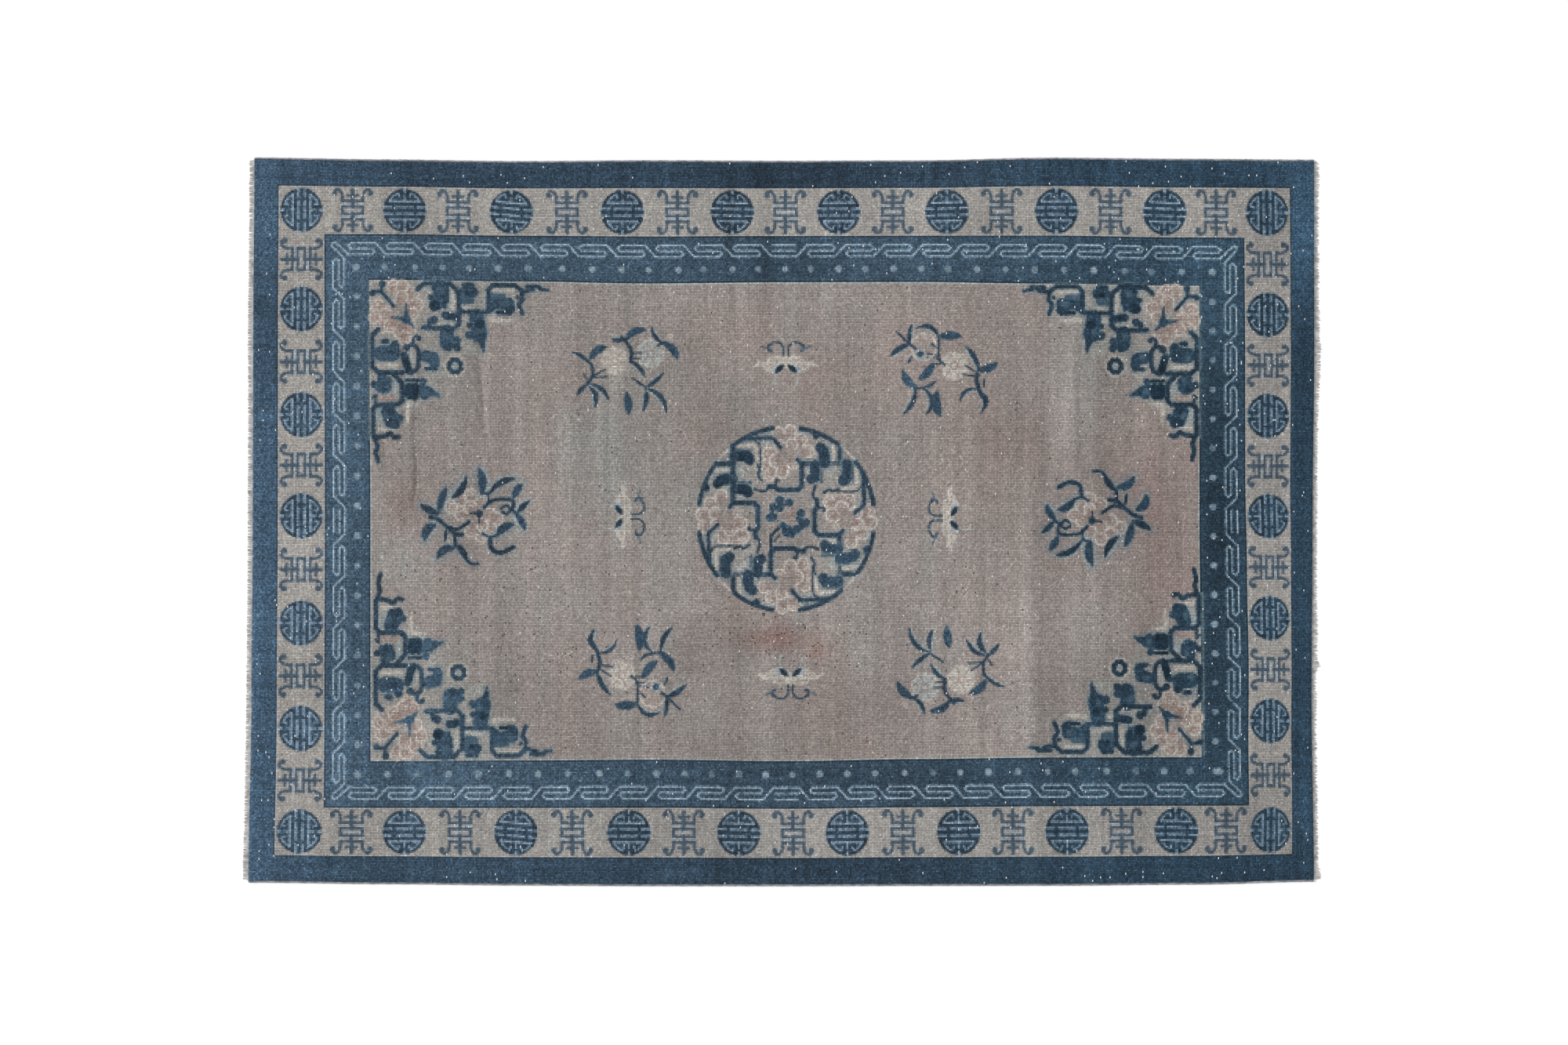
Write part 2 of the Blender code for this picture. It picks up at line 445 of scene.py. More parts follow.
def leaf(place, x0, y0, x1, y1, bow, width, shade=0, dye="navy"):
    """A leaf from its stalk to its tip, bowed to its left, with a pale shade on one side."""
    steps = 10
    dx, dy = x1 - x0, y1 - y0
    length = math.hypot(dx, dy)
    nx, ny = dy / length, -dx / length
    spine = []
    widths = []
    for step in range(steps + 1):
        t = step / steps
        lift = 4 * bow * t * (1 - t)
        spine.append((x0 + dx * t + nx * lift, y0 + dy * t + ny * lift))
        widths.append(max(width * math.sin(math.pi * (0.08 + 0.86 * t)) ** 0.8, 1.1))
    if shade:
        aside = shade * width * 0.42
        beside = [(x + nx * aside, y + ny * aside) for x, y in spine]
        sweep(place, beside, widths, "leaf shade", 0.8)
    sweep(place, spine, widths, dye)


def petals(place, x, y, reach, radius, count, start, dye):
    for index in range(count):
        angle = start + 2 * math.pi * index / count
        disc(place, x + reach * math.cos(angle), y + reach * math.sin(angle), radius, dye)


def bars(place, rows, more=0.0, soft=0.0):
    """Bars with round ends, from rows of two ends, their widths and dye, on a soft halo."""
    for x0, y0, x1, y1, wide_start, wide_end, _ in rows:
        widths = [wide_start + more + HALO, wide_end + more + HALO]
        sweep(place, [(x0, y0), (x1, y1)], widths, "soft teal", soft)
    for x0, y0, x1, y1, wide_start, wide_end, dye in rows:
        sweep(place, [(x0, y0), (x1, y1)], [wide_start + more, wide_end + more], dye)


def spots(place, rows):
    """Discs, from rows of x, y, radius and dye."""
    for x, y, radius, dye in rows:
        disc(place, x, y, radius, dye)


def lobe(place, x, y, radius, heart, dye):
    """One lobe of a peony: a cream rim on the side away from the flower's heart."""
    outwards = math.degrees(math.atan2(y - heart[1], x - heart[0]))
    disc(place, x, y, radius + 0.3, dye, 0.9)
    rim = arc_rows(radius - 0.4, outwards - 115, outwards + 115, x, y)
    stroke(place, rim, 1.6, "peony cream")
    fold = arc_rows(radius * 0.36, outwards - 60, outwards + 110, x, y, 6)
    stroke(place, fold, 1.0, "peony cream", 0.8)


# The borders' ornaments, in knots from their own centre

ROUNDEL_LINES = (
    (((-9.6, 5.8), (9.6, 5.8)), 1.12, 1),
    (((-5.2, 2.1), (5.2, 2.1)), 1.12, 1),
    (((0, 5.8), (0, 9.2)), 1.12, 0.8),
    (((0, 12), (0, ROUNDEL_RADIUS)), 1.5, 1),
)
ROUNDEL_HOOK = ((9.6, 5.8), (8.4, 7.8), (6.4, 9.7), (4, 10.9), (3.2, 8.8))


def roundel(place):
    """A round ornament: a dark disc crossed by pale bars, with a pale hook in each shoulder."""
    disc(place, 0, 0, ROUNDEL_RADIUS, "ring navy")
    disc(place, 0, 0, ROUNDEL_RADIUS - 2.6, "roundel blue")
    for side in (-1, 1):
        for rows, width, strength in ROUNDEL_LINES:
            stroke(place, mirrored(rows, 1, side), width, "roundel line", strength)
        for hand in (-1, 1):
            bar = mirrored(((8.2, 2.1), (ROUNDEL_RADIUS, 2.1)), hand, side)
            stroke(place, bar, 1.12, "roundel line")
            stroke(place, mirrored(ROUNDEL_HOOK, hand, side), 1.0, "roundel line", 0.9)


UPRIGHT_LINES = (
    (((0, 2.2), (0, 12.8)), 2.3),
    (((-3.2, 9.4), (3.2, 9.4)), 1.8),
    (((-6.6, 5.8), (6.6, 5.8)), 1.7),
    (((-6.8, 2.3), (6.8, 2.3)), 1.6),
)
UPRIGHT_CURL = ((6.8, 5.8), (6.8, 9.4), (8.2, 12.3), (10.4, 13), (12.2, 11.4))


def upright(place):
    """The upright ornament that stands between two roundels, with four curled feet."""
    blue = "ornament blue"
    filled(place, [(-6, -1.6), (6, -1.6), (6, 1.6), (-6, 1.6)], "soft line", 0.35)
    for side in (-1, 1):
        stroke(place, [(-6.6, side * 4.0), (6.6, side * 4.0)], 1.3, "soft line", 0.9)
        for rows, width in UPRIGHT_LINES:
            stroke(place, mirrored(rows, 1, side), width, blue)
        for hand in (-1, 1):
            stroke(place, mirrored(((6.7, 0), (6.7, 2.3)), hand, side), 1.7, blue)
            curl(place, mirrored(UPRIGHT_CURL, hand, side), 1.9, blue)
            disc(place, hand * 11.6, side * 10.6, 1.7, blue)


def chain_run(place, length):
    """Half a side of the key chain, from its corner to the middle of the side."""
    links = round((length - CHAIN_MIDDLE) / CHAIN_PERIOD)
    period = (length - CHAIN_MIDDLE) / links
    rows = []
    for index in range(links):
        rows.extend((index * period + x * period / 24, y * CHAIN_DEPTH) for x, y in CHAIN_LINK)
    rows.append((length - CHAIN_MIDDLE, CHAIN_DEPTH))
    rows.append((length, CHAIN_DEPTH))
    stroke(place, rows, 1.0, "chain line")
    start = length - CHAIN_MIDDLE + 1
    stroke(place, [(start, 0), (length, 0)], 1.0, "chain line")
    stroke(place, [(start, CHAIN_DEPTH * 0.5), (length - 1, CHAIN_DEPTH * 0.5)], 1.0, "chain line")


def chain_corner(place):
    """The slanting link that turns the key chain round a corner."""
    deep = CHAIN_DEPTH
    rows = [(deep + 3, deep), (1.5, -0.5), (-0.5, 0), (-0.5, 2.2), (deep, deep + 2.4)]
    stroke(place, rows, 1.0, "chain line")


def inner_band():
    """Chain and pearls round the field."""
    inset = CHAIN_DEPTH + 2.4
    reach_x = KNOTS / 2 - CHAIN_ROW - inset
    reach_y = ROWS / 2 - CHAIN_ROW - inset
    for flip_x, x, step_x in ((False, CHAIN_ROW, inset), (True, KNOTS - CHAIN_ROW, -inset)):
        for flip_y, y, step_y in ((False, CHAIN_ROW, inset), (True, ROWS - CHAIN_ROW, -inset)):
            chain_run(Place(x + step_x, y, 0, flip_x, flip_y), reach_x)
            chain_run(Place(x, y + step_y, 3 if flip_y else 1, False, flip_x == flip_y), reach_y)
            chain_corner(Place(x, y, 0, flip_x, flip_y))
    pearls = [(x, PEARL_ROW) for x in PEARLS_FAR]
    pearls += [(x, ROWS - PEARL_ROW) for x in PEARLS_NEAR]
    pearls += [(x, y) for x in (PEARL_ROW, KNOTS - PEARL_ROW) for y in PEARLS_SIDE]
    for x, y in pearls:
        disc(Place(x, y), 0, 0, random.uniform(1.8, 2.3), "pearl", random.uniform(0.6, 1.0))


def band(low, dye):
    chart[low : ROWS - low, low : KNOTS - low] = dye_values(dye)


def middles(places):
    return [(a + b) / 2 for a, b in zip(places, places[1:])]


def borders():
    band(0, "outer blue")
    band(OUTER_BAND - 1, "dark edge")
    band(OUTER_BAND, "beige")
    band(MAIN_BAND, "dark edge")
    band(MAIN_BAND + 1, "inner blue")
    inner_band()
    band(BORDER - 1, "dark edge")
    band(BORDER, "pale edge")
    band(BORDER + 1, "field")
    middle = (OUTER_BAND + MAIN_BAND) / 2
    for places, y in ((ROUNDELS_FAR, middle), (ROUNDELS_NEAR, ROWS - middle)):
        for index, x in enumerate(places[1:-1]):
            roundel(Place(x, y, lean=ROUNDEL_LEANS[index]))
        for x in middles(places):
            upright(Place(x, y))
    for places, x in ((ROUNDELS_LEFT, middle), (ROUNDELS_RIGHT, KNOTS - middle)):
        for y in places:
            roundel(Place(x, y, 1))
        for y in middles(places):
            upright(Place(x, y, 1))


# The field's motifs, in knots from their own centre, x to the right and y towards the near edge.
# A leaf from its stalk to its tip; its shade is 0 and its dye navy where they are left out
LEAF_COLUMNS = ("x0", "y0", "x1", "y1", "bow", "width", "shade", "dye")

SPRAY_A_LEAVES = (
    (-24.9, -2.6, -36.3, -9.8, -1.2, 2.4, 1),
    (-24.9, -5.9, -15.1, -13.7, 1.5, 5, 0, "leaf blue"),
    (-26, 10.1, -22, 23.4, 2.4, 3.6, -1),
    (-24.3, 9.6, -13.4, 19, 2, 3, -1),
    (-26.6, 9.6, -33.5, 16.5, -0.6, 3),
    (-1.9, -18.2, 10.2, -24.2, 2.2, 4.8, 0, "leaf blue"),
    (-2.5, -18.6, -11, -18.4, 0.8, 3, -1),
    (1.5, -4.4, 9.6, 4, 1.2, 2.8, -1),
    (21, -16.4, 14.2, -25.9, 1.6, 2.8, -1),
    (22.2, -15.9, 30.8, -6.5, 1.6, 5.2, 0, "leaf blue"),
    (10.2, 11.2, 21.6, 2.4, -0.8, 2.8, 1),
    (10.2, 11.2, 2.1, 5.7, 0, 1.6),
    (10.4, 12.4, 8.8, 25.2, 1.2, 3.2, -1),
    (11.9, 12.3, 23.4, 26.2, 3.2, 3.2, -1),
    (-1.9, 15.1, -0.5, 27.6, 0.4, 5.4, 0, "leaf blue"),
)
SPRAY_A_TWIGS = (
    (((-26.6, 9), (-23.7, 5.1), (-23.7, -0.9), (-24.9, -3.2)), 1.9),
    (((-23.7, 5.1), (-15.7, 0.4)), 1),
    (((-23.7, 5.4), (-14, 4.9)), 1),
    (((-29.2, 3.6), (-27, 6.6)), 1.2),
    (((-4.8, -19.6), (-1.9, -16.4), (1, -12), (1, -4.8)), 2.3),
    (((1.5, -9.9), (7.6, -10)), 1),
    (((1.5, -6.6), (7, -6.8)), 1),
    (((18.8, -14.8), (21, -16.2), (22.8, -16.6)), 1.8),
)
SPRAY_A_FLOWERS = (
    (-9.4, -5, 8.4, "ivory"), (13.6, -9.8, 8.6, "pale flower"), (26.2, -20.3, 1.8, "peony cream"),
)

SPRAY_B_LEAVES = (
    (-23.7, -12.7, -25.9, -25.7, 3.6, 3.2, -1),
    (-24.3, -11.6, -30.2, -19.5, -1.2, 2.6),
    (-22.1, -11.6, -12.1, -18.9, -2.4, 2.4, 1),
    (-24.3, 0, -35.7, 4.6, -1.2, 5, 0, "leaf blue"),
    (-24.3, 0.4, -16.2, 14.3, -1.2, 3.3, 1),
    (5, 3.6, 13.7, -5.9, 1, 5.4, 0, "leaf blue"),
    (0.6, 20.3, -12.4, 20.8, 0.6, 5.6, 0, "leaf blue"),
    (1.7, 20.8, 15.3, 25.5, -3.6, 3, 1),
    (1.6, 13, 6.1, 15.9, 0, 1.9),
    (20.2, 15.6, 32.1, 8.5, -1, 3.5, 1),
    (19.6, 15.6, 18.5, 27.6, 1, 3, -1),
    (20.7, 4.1, 18.5, 7.9, 0, 2.1),
    (10.4, -12.1, 9.1, -27.3, 4, 3.2, -1),
    (16.4, -12.7, 23.4, -26.8, 1.8, 3.2, -1),
    (15.8, -11.1, 24.5, -0.6, 1.6, 5.2, 0, "leaf blue"),
    (10.4, -10.6, 3.4, -6.9, -1, 2.2),
    (0.7, -28.1, 2.3, -13.4, 1.6, 6.2, 0, "leaf blue"),
)
SPRAY_B_TWIGS = (
    (((-23.2, -2.7), (-22.7, -6.5), (-24.3, -12.1)), 2.6),
    (((-24.3, 0.4), (-22.9, -2.4)), 1.6),
    (((-21, -3.8), (-14, -2.7)), 1.1),
    (((-21, -0.6), (-15.6, 2.8)), 1.1),
    (((-27.4, -10), (-27.6, -5.9)), 1.3),
    (((-2.6, 2.8), (1.2, 7.2), (1.2, 19.6)), 1.4),
    (((0.4, 3.6), (5, 3.4)), 1.1),
    (((1.6, 7), (8.2, 7.2)), 1),
    (((2.8, 8.8), (8.2, 9.8)), 1),
    (((20.2, 15.6), (28.3, 23.4)), 1.4),
    (((20.2, 15.6), (16.4, 13)), 1.8),
    (((10.4, -11.1), (16.9, -11.9)), 1.4),
)
SPRAY_B_FLOWERS = ((-8.6, 2.5, 8.6, "ivory"), (11.0, 14.0, 8.4, "blush"))

ROUND_SPRAY_LEAVES = (
    (3.4, -13.8, 2, -28.8, -1.6, 5.6, -1, "leaf blue"),
    (10, -15.4, 24.8, -22.8, 1.8, 4, 1),
    (24.2, -11.4, 29.4, -19.2, 0.6, 4.8, 0, "leaf blue"),
    (26.5, -1.7, 34, -8.9, 0.4, 3.6, 1),
    (26, -0.1, 31.1, 8.3, 1, 4.4, -1, "leaf blue"),
    (13.9, 11.6, 23.7, 5.6, 1.6, 5.2, 0, "leaf blue"),
    (-23.4, -2.8, -18.8, -16.7, 0.8, 5, 0, "leaf blue"),
    (-14.8, -11.1, -6.2, -23.3, -1.8, 4.4, 1),
    (-24, -1.3, -35, -6.3, 0.6, 4.6),
    (-26.3, 6, -32.6, 14.9, -2.4, 5.8, 0, "leaf blue"),
    (-14.2, 20, -24.6, 26, -2.2, 5.2, 0, "leaf blue"),
    (-12.2, 18.2, -6, 27, 0.8, 4.2),
    (-19, 9, -20, 15.6, 0, 2.2),
)
ROUND_SPRAY_TWIGS = (
    (((5, -14), (7.6, -13), (8.2, -8)), 1.4),
    (((7.6, -13), (11, -15.8)), 1.2),
    (((5.3, -5), (8.2, -7.6), (11.6, -9.8), (22.5, -9.8), (24, -6.4), (23, -3.6)), 2),
    (((16.2, -4.6), (19.6, -6.2), (22, -4), (19.6, -1.2), (17, -2.4)), 1.8),
    (((23, -3.6), (26.4, -0.8)), 1.8),
    (((4.4, 11), (8.7, 13.2), (13.9, 11.8)), 1.5),
    (((8.9, 13.6), (10.2, 20.6), (16.2, 22.6), (23.7, 19.3)), 2.8),
    (((-29.4, 1), (-24, 2.7), (-18.3, 7.1), (-13.7, 11), (-9.1, 11.8)), 2.5),
    (((-16, 7.1), (-11.4, 8.3), (-4.5, 3.8)), 2),
    (((-13.7, 12.1), (-13.1, 18.4)), 2.1),
    (((-6, 27), (-3.4, 29.4), (1.6, 29.6)), 1.8),
)
ROUND_SPRAY_LOBES = (
    (-15.5, -5.5, 4.6), (-10.5, -10.5, 4.6), (-3.5, -12.5, 4.2), (4, -10, 3.8), (-9.5, -1.5, 4.6),
    (-3.6, -5, 4.4), (8.5, -1, 4.2), (13.6, 2, 4.2), (-3, 9, 4.4), (3.6, 12.2, 4.4),
    (9.6, 8.4, 4.2), (4, 6, 3.8),
)


def draw_leaves(place, rows):
    for row in rows:
        leaf(place, **dict(zip(LEAF_COLUMNS, row)))


def petal_heart(x, y, radius, turn):
    angle = 0.3 + math.radians(60 * turn)
    return x + radius * 0.55 * math.cos(angle), y + radius * 0.55 * math.sin(angle)


def blossom(place, x, y, radius, dye):
    """A ragged pale flower with a faint eye and petal lines."""
    if radius < 3:
        disc(place, x, y, radius, dye, 0.7)
        return
    disc(place, x, y, radius * 1.08, dye, 0.35)
    petals(place, x, y, radius * 0.55, radius * 0.46, 6, 0.3, dye)
    disc(place, x, y, radius * 0.6, dye)
    stroke(place, arc_rows(radius * 0.26, 0, 360, x, y, 10), 1.0, "peony blush", 0.9)
    for turn in range(6):
        edge = arc_rows(radius * 0.95, 60 * turn + 10, 60 * turn + 14, x, y, 1)[0]
        heart = arc_rows(radius * 0.5, 60 * turn + 12, 60 * turn + 14, x, y, 1)[0]
        stroke(place, [heart, edge], 1.0, "peony blush", 0.8)
        rim = arc_rows(radius * 0.46, 60 * turn - 42, 60 * turn + 76, *petal_heart(x, y, radius, turn), 6)
        stroke(place, rim, 1.0, "peony cream", 0.7)


def spray(place, leaves, twigs, flowers):
    for x, y, radius, dye in flowers:
        blossom(place, x, y, radius, dye)
    draw_leaves(place, leaves)
    for rows, width in twigs:
        curl(place, rows, width, "navy")


def spray_a(place):
    spray(place, SPRAY_A_LEAVES, SPRAY_A_TWIGS, SPRAY_A_FLOWERS)


def spray_b(place):
    spray(place, SPRAY_B_LEAVES, SPRAY_B_TWIGS, SPRAY_B_FLOWERS)
    stroke(place, arc_rows(8.2, 20, 330, 11.0, 14.0), 1.1, "peony cream", 0.8)
    disc(place, 13.1, 9.6, 3.4, "leaf shade")
    disc(place, 13.1, 9.6, 2.0, "leaf blue")


def round_spray(place):
    """The ring of leaves round a peony, at the two ends of the field."""
    for x, y, radius in ROUND_SPRAY_LOBES:
        lobe(place, x, y, radius, (1, 0), "peony blush")
    spines = [((row[0:2], row[2:4]), row[5]) for row in ROUND_SPRAY_LEAVES]
    halo(place, spines, 0.3, SPRAY_HALO)
    halo(place, [(rounded(rows), width) for rows, width in ROUND_SPRAY_TWIGS], 0.25, SPRAY_HALO)
    spray(place, ROUND_SPRAY_LEAVES, ROUND_SPRAY_TWIGS, ())
    disc(place, 2.1, -1.2, 2.4, "leaf blue")
    stroke(place, [(2.1, -1.2), (-4.0, -1.7)], 1.2, "navy")
    stroke(place, [(2.1, -1.2), (2.1, 4.4)], 1.2, "navy")


BUTTERFLY_WING = (
    (0, -4.6), (4.5, -5), (10.5, -4.2), (12.5, -1.2), (17.5, -1.8), (21.5, 2.4), (16, 1.4),
    (12.5, 4.4), (8.5, 6.2), (5, 5.8), (0, 3),
)
BUTTERFLY_CURLS = (
    (((6.4, 7.6), (7.6, 10.6), (5.6, 13.6)), 1.2, "pale flower"),
    (((1.7, -4.9), (1.6, -9.8), (4.2, -12.8), (8, -12.8), (11.2, -10.6)), 1.2, "navy"),
    (((11.2, -11.4), (11.2, -8.4), (9.4, -7.8)), 1.5, "leaf blue"),
)


def butterfly(place):
    for hand in (-1, 1):
        filled(place, mirrored(BUTTERFLY_WING, hand), "ivory")
        disc(place, hand * 6.8, 3.6, 2.6, "soft line", 0.8)
        for vein in (((4, -2.6), (10.6, -1.6)), ((8, 1), (13.4, 1.2))):
            stroke(place, mirrored(vein, hand), 0.9, "peony blush", 0.7)
        leaf(place, hand * 1.8, 1.2, hand * 6.6, 5.0, 0.0, 3.4, dye="deep leaf")
        for rows, width, dye in BUTTERFLY_CURLS:
            curl(place, mirrored(rows, hand), width, dye)
        stroke(place, mirrored(((11.4, -9.2), (16, -10.6)), hand), 1.1, "faded leaf", 0.8)


# The field's corners, in knots from the field's own corner, which is the far left one

CORNER_GROUND = (
    (0, 0), (100, 0), (98, 18), (78, 22), (74, 44), (60, 46),
    (46, 60), (44, 70), (24, 76), (22, 92), (0, 98),
)
CORNER_SHADES = (
    (((50.6, 5), (55.8, 6), (56, 24), (44.6, 27), (44.6, 23.4), (54, 22.4), (54.6, 18), (50.6, 17)), 0.9),
    (((37, 3), (41, 4), (38.4, 9), (40.4, 12.6), (37.6, 15.8), (36, 15)), 0.45),
    (((58.6, 14.2), (70, 14.2), (70, 16.6), (58.6, 16.8)), 0.8),
    (((77.2, 3.2), (93.6, 3.2), (95, 6.2), (77.4, 6.4)), 0.75),
    (((79, 20.6), (85, 24.4), (92, 22.6), (93, 24.6), (85, 27), (78, 23)), 0.55),
    (((58.8, 26), (62, 36), (70, 41), (72, 46), (66, 45), (59, 40)), 0.5),
    (((59, 20), (63, 20), (64.6, 24.4), (60, 30)), 0.6),
    (((4.6, 50.4), (19, 50.6), (20.6, 53), (4.6, 53)), 0.95),
    (((16, 58.6), (19.4, 63), (19.2, 72.6), (15.6, 73), (16.6, 66)), 0.8),
    (((5, 78), (10.4, 78), (11, 86), (14, 90), (5.6, 90)), 0.7),
    (((23, 73.4), (36, 73), (30, 80), (23, 82)), 0.5),
    (((36.6, 55), (46, 54.6), (46, 58), (36, 59)), 0.4),
)
# Bars: both ends, the width at each and the dye
CORNER_BARS = (
    (46.4, 4.6, 46.6, 12.6, 9.4, 8.4, "leaf blue"),
    (44.4, 10, 43.4, 15, 5.6, 6.4, "leaf blue"),
    (49, 6, 49.4, 12, 5.6, 4.4, "leaf blue"),
    (41.6, 5, 44, 4, 1.2, 2.4, "navy"),
    (49.4, 10, 49.4, 16.6, 2.8, 1, "navy"),
    (49.8, 21.4, 55.6, 22.2, 4.4, 4.2, "navy"),
    (39.4, 24.8, 38.8, 28.8, 2.4, 2, "navy"),
    (50.4, 31.4, 50.6, 38.4, 8.6, 8.4, "leaf blue"),
    (61.4, 2.8, 66.4, 2.8, 2.4, 3.2, "navy"),
    (62, 7.2, 67, 6.8, 6.2, 6.2, "leaf blue"),
    (61.8, 11.6, 66, 11.8, 4.2, 3.8, "faded leaf"),
    (61.4, 9, 61.4, 12.6, 3.2, 3, "faded leaf"),
    (79, 9.2, 86.4, 9.4, 3.4, 3, "faded leaf"),
    (78.6, 13.6, 90, 14.2, 5.2, 6.8, "leaf blue"),
    (82.6, 19, 90.6, 19.2, 1.8, 2.4, "deep leaf"),
    (69.6, 22, 71.4, 32.4, 8.8, 9.4, "leaf blue"),
    (72, 33, 74, 43, 6.2, 0.8, "navy"),
    (8.6, 45, 15.8, 44.6, 8.8, 9.4, "leaf blue"),
    (9.8, 37.6, 12.4, 37.6, 2.5, 2.5, "navy"),
    (23.4, 46.4, 26, 55.2, 4, 4.4, "deep leaf"),
    (36.4, 46.4, 41.4, 47.6, 6.6, 7.2, "leaf blue"),
    (37.2, 54, 43.4, 53.8, 1.7, 2.4, "navy"),
    (9, 60.2, 10.2, 64.8, 5.6, 9, "leaf blue"),
    (24.4, 61.3, 31.8, 61.3, 1.5, 1.5, "deep leaf"),
    (26.2, 65.8, 26.4, 70.2, 5.2, 5.2, "deep leaf"),
    (30, 65.8, 29.8, 70.4, 5, 5.2, "deep leaf"),
    (34.4, 65.4, 36, 70, 4, 5.4, "leaf blue"),
    (37.6, 67.8, 45.6, 70.6, 6.4, 0.8, "leaf blue"),
    (12.8, 80.4, 15.2, 85.6, 8.6, 9.6, "leaf blue"),
)
CORNER_SPOTS = (
    (42.6, 15.4, 3.5, "deep leaf"), (40.2, 10.4, 1.9, "navy"), (46.8, 6.4, 2.4, "faded leaf"),
    (49.6, 20.8, 1.9, "navy"), (53.4, 21.6, 1.9, "deep leaf"), (42.2, 24.2, 2.6, "navy"),
    (57, 36.8, 2.6, "leaf blue"), (54.6, 38.4, 3, "leaf blue"), (52, 40.6, 2.7, "navy"),
    (57.2, 41, 2.4, "navy"), (49, 33.6, 2.4, "faded leaf"), (67.4, 6.4, 2.7, "navy"),
    (63.8, 7.8, 1.7, "deep leaf"), (90.2, 13.4, 3.5, "leaf blue"), (91, 17.2, 3, "navy"),
    (88.4, 13.6, 2.1, "faded leaf"), (95.6, 9.6, 1.3, "navy"), (64.8, 27.2, 1.9, "navy"),
    (64.8, 33.2, 2.7, "leaf blue"), (68.4, 34, 2.7, "leaf blue"), (71.4, 26.4, 2.8, "deep leaf"),
    (69.4, 31, 1.9, "faded leaf"), (17.2, 39.8, 2.8, "navy"), (17, 43.6, 3.2, "leaf blue"),
    (15.2, 44.6, 2.4, "navy"), (8.6, 47, 2.2, "faded leaf"), (24.8, 41.2, 2.2, "deep leaf"),
    (32.7, 35.6, 1.6, "deep leaf"), (22.8, 46, 2, "navy"), (42.6, 50.8, 3.3, "leaf blue"),
    (38, 46.4, 2.1, "faded leaf"), (12.4, 62.2, 3.2, "leaf blue"), (3.8, 63.8, 2.2, "navy"),
    (6.8, 66.4, 2.3, "leaf blue"), (11.2, 60.6, 1.7, "faded leaf"), (9.2, 66.6, 1.5, "navy"),
    (35.2, 61.8, 2.2, "leaf blue"), (36, 67.8, 2, "faded leaf"), (20.2, 84.4, 2.3, "leaf blue"),
    (17.4, 88.2, 2.9, "navy"), (13.4, 88, 2.3, "navy"), (14.6, 80.4, 2.2, "navy"),
    (11.4, 83.4, 2, "faded leaf"), (9.2, 2.5, 2.2, "navy"), (3.1, 8.1, 1.9, "navy"),
)
CORNER_LIGHTS = (
    (53.6, 5, 54.4, 16.8, 2.4, 2.8, "ivory"),
    (46, 26.6, 54.2, 26.6, 2, 2.2, "ivory"),
    (61.8, 16.1, 67, 16.1, 2.6, 2.6, "ivory"),
    (79.8, 5.6, 93, 5.6, 1.9, 2, "ivory"),
    (80, 17.4, 88, 17.3, 1.3, 1.2, "ivory"),
    (61.6, 23.2, 64.2, 25, 2, 1.4, "ivory"),
    (78.6, 23.6, 90.6, 24, 3.2, 1.8, "ivory"),
    (7.2, 52.3, 19, 52.3, 3, 2.8, "ivory"),
    (9, 39.5, 13.8, 39.5, 0.9, 0.9, "ivory"),
    (17.6, 62.4, 17.6, 70, 2.4, 2.4, "leaf shade"),
    (36, 52.2, 38.8, 52.3, 1.4, 1.2, "ivory"),
    (6.2, 79.6, 6.4, 85, 2.4, 2.4, "leaf shade"),
    (7, 91, 16, 91.2, 2, 1.8, "ivory"),
    (25.2, 76, 31, 75.4, 3, 2.4, "ivory"),
    (24.8, 77, 25.4, 87, 3, 1.8, "ivory"),
    (25, 62.6, 31.4, 62.6, 0.8, 0.8, "ivory"),
    (28, 44.6, 28.8, 50.6, 2, 1.8, "pale flower"),
)
CORNER_LINES = (
    (((31.6, 5.6), (36, 1.9), (52.6, 1.9), (57.6, 6.4), (58.2, 12),
      (58.2, 26.6), (54.4, 29.6), (35.2, 29)), 2.6),
    (((58.4, 18.9), (76.8, 18.9), (80.4, 16.8)), 2.3),
    (((77, 18.4), (76.9, 5.6), (79.6, 2.4), (94, 2.4), (98.4, 5.8),
      (98.8, 10.8), (96.4, 14.4), (98.6, 19.6)), 2.5),
    (((6.8, 30.2), (2.9, 33.8), (2.8, 53), (6.8, 56.6), (22, 56.6)), 2.7),
    (((15.6, 57), (21.8, 63.2), (21.9, 73.6), (19, 76.2), (5.4, 76.2), (3.1, 78.8), (3.1, 95)), 2.7),
    (((16.4, 15.8), (8.6, 7.2), (3, 7.4)), 1.9),
    (((8.8, 7.2), (9.2, 2.6)), 1.7),
    (((99.4, 6.2), (105.6, 5.2)), 1.9),
    (((101.8, 3.2), (109.8, 3.2)), 2.4),
    (((109.6, 4.6), (115, 5.2)), 1.7),
)
CORNER_CURLS = (
    (((24.4, 40.8), (29, 39.6), (32.1, 42.8), (32.3, 50.5), (31, 54.8), (27.4, 56.8)), 2.6),
    (((29.4, 39.8), (29.2, 36), (31, 34.3), (33, 35.4)), 1.8),
    (((4, 96.2), (10.4, 95.4), (14, 93.8), (16.4, 96.2), (19.6, 95.8)), 2.7),
    (((4, 96.4), (5.6, 101.4), (4.6, 105.4), (6, 111)), 2.7),
    (((3, 72), (5, 70.4), (4.4, 75)), 1.5),
)
CORNER_FADED = ((5.6, 70.0), (18.2, 69.6), (18.2, 74.6), (6.0, 74.6))
CORNER_LOBES = (
    (16.4, 3.8, 4.2), (22.4, 4.6, 4.6), (28.4, 8.4, 4.6), (31.4, 15, 4.4), (21.6, 10.6, 4.2),
    (28.6, 20.6, 4), (6.6, 16.4, 4.6), (5.4, 22.6, 4.6), (11.6, 21.4, 4.4), (8.4, 28.4, 4.4),
    (14.8, 28, 4.6), (20.4, 31.4, 4.4), (26.4, 31, 4.4), (23.6, 36.6, 3.6), (15.6, 16, 3.6),
)

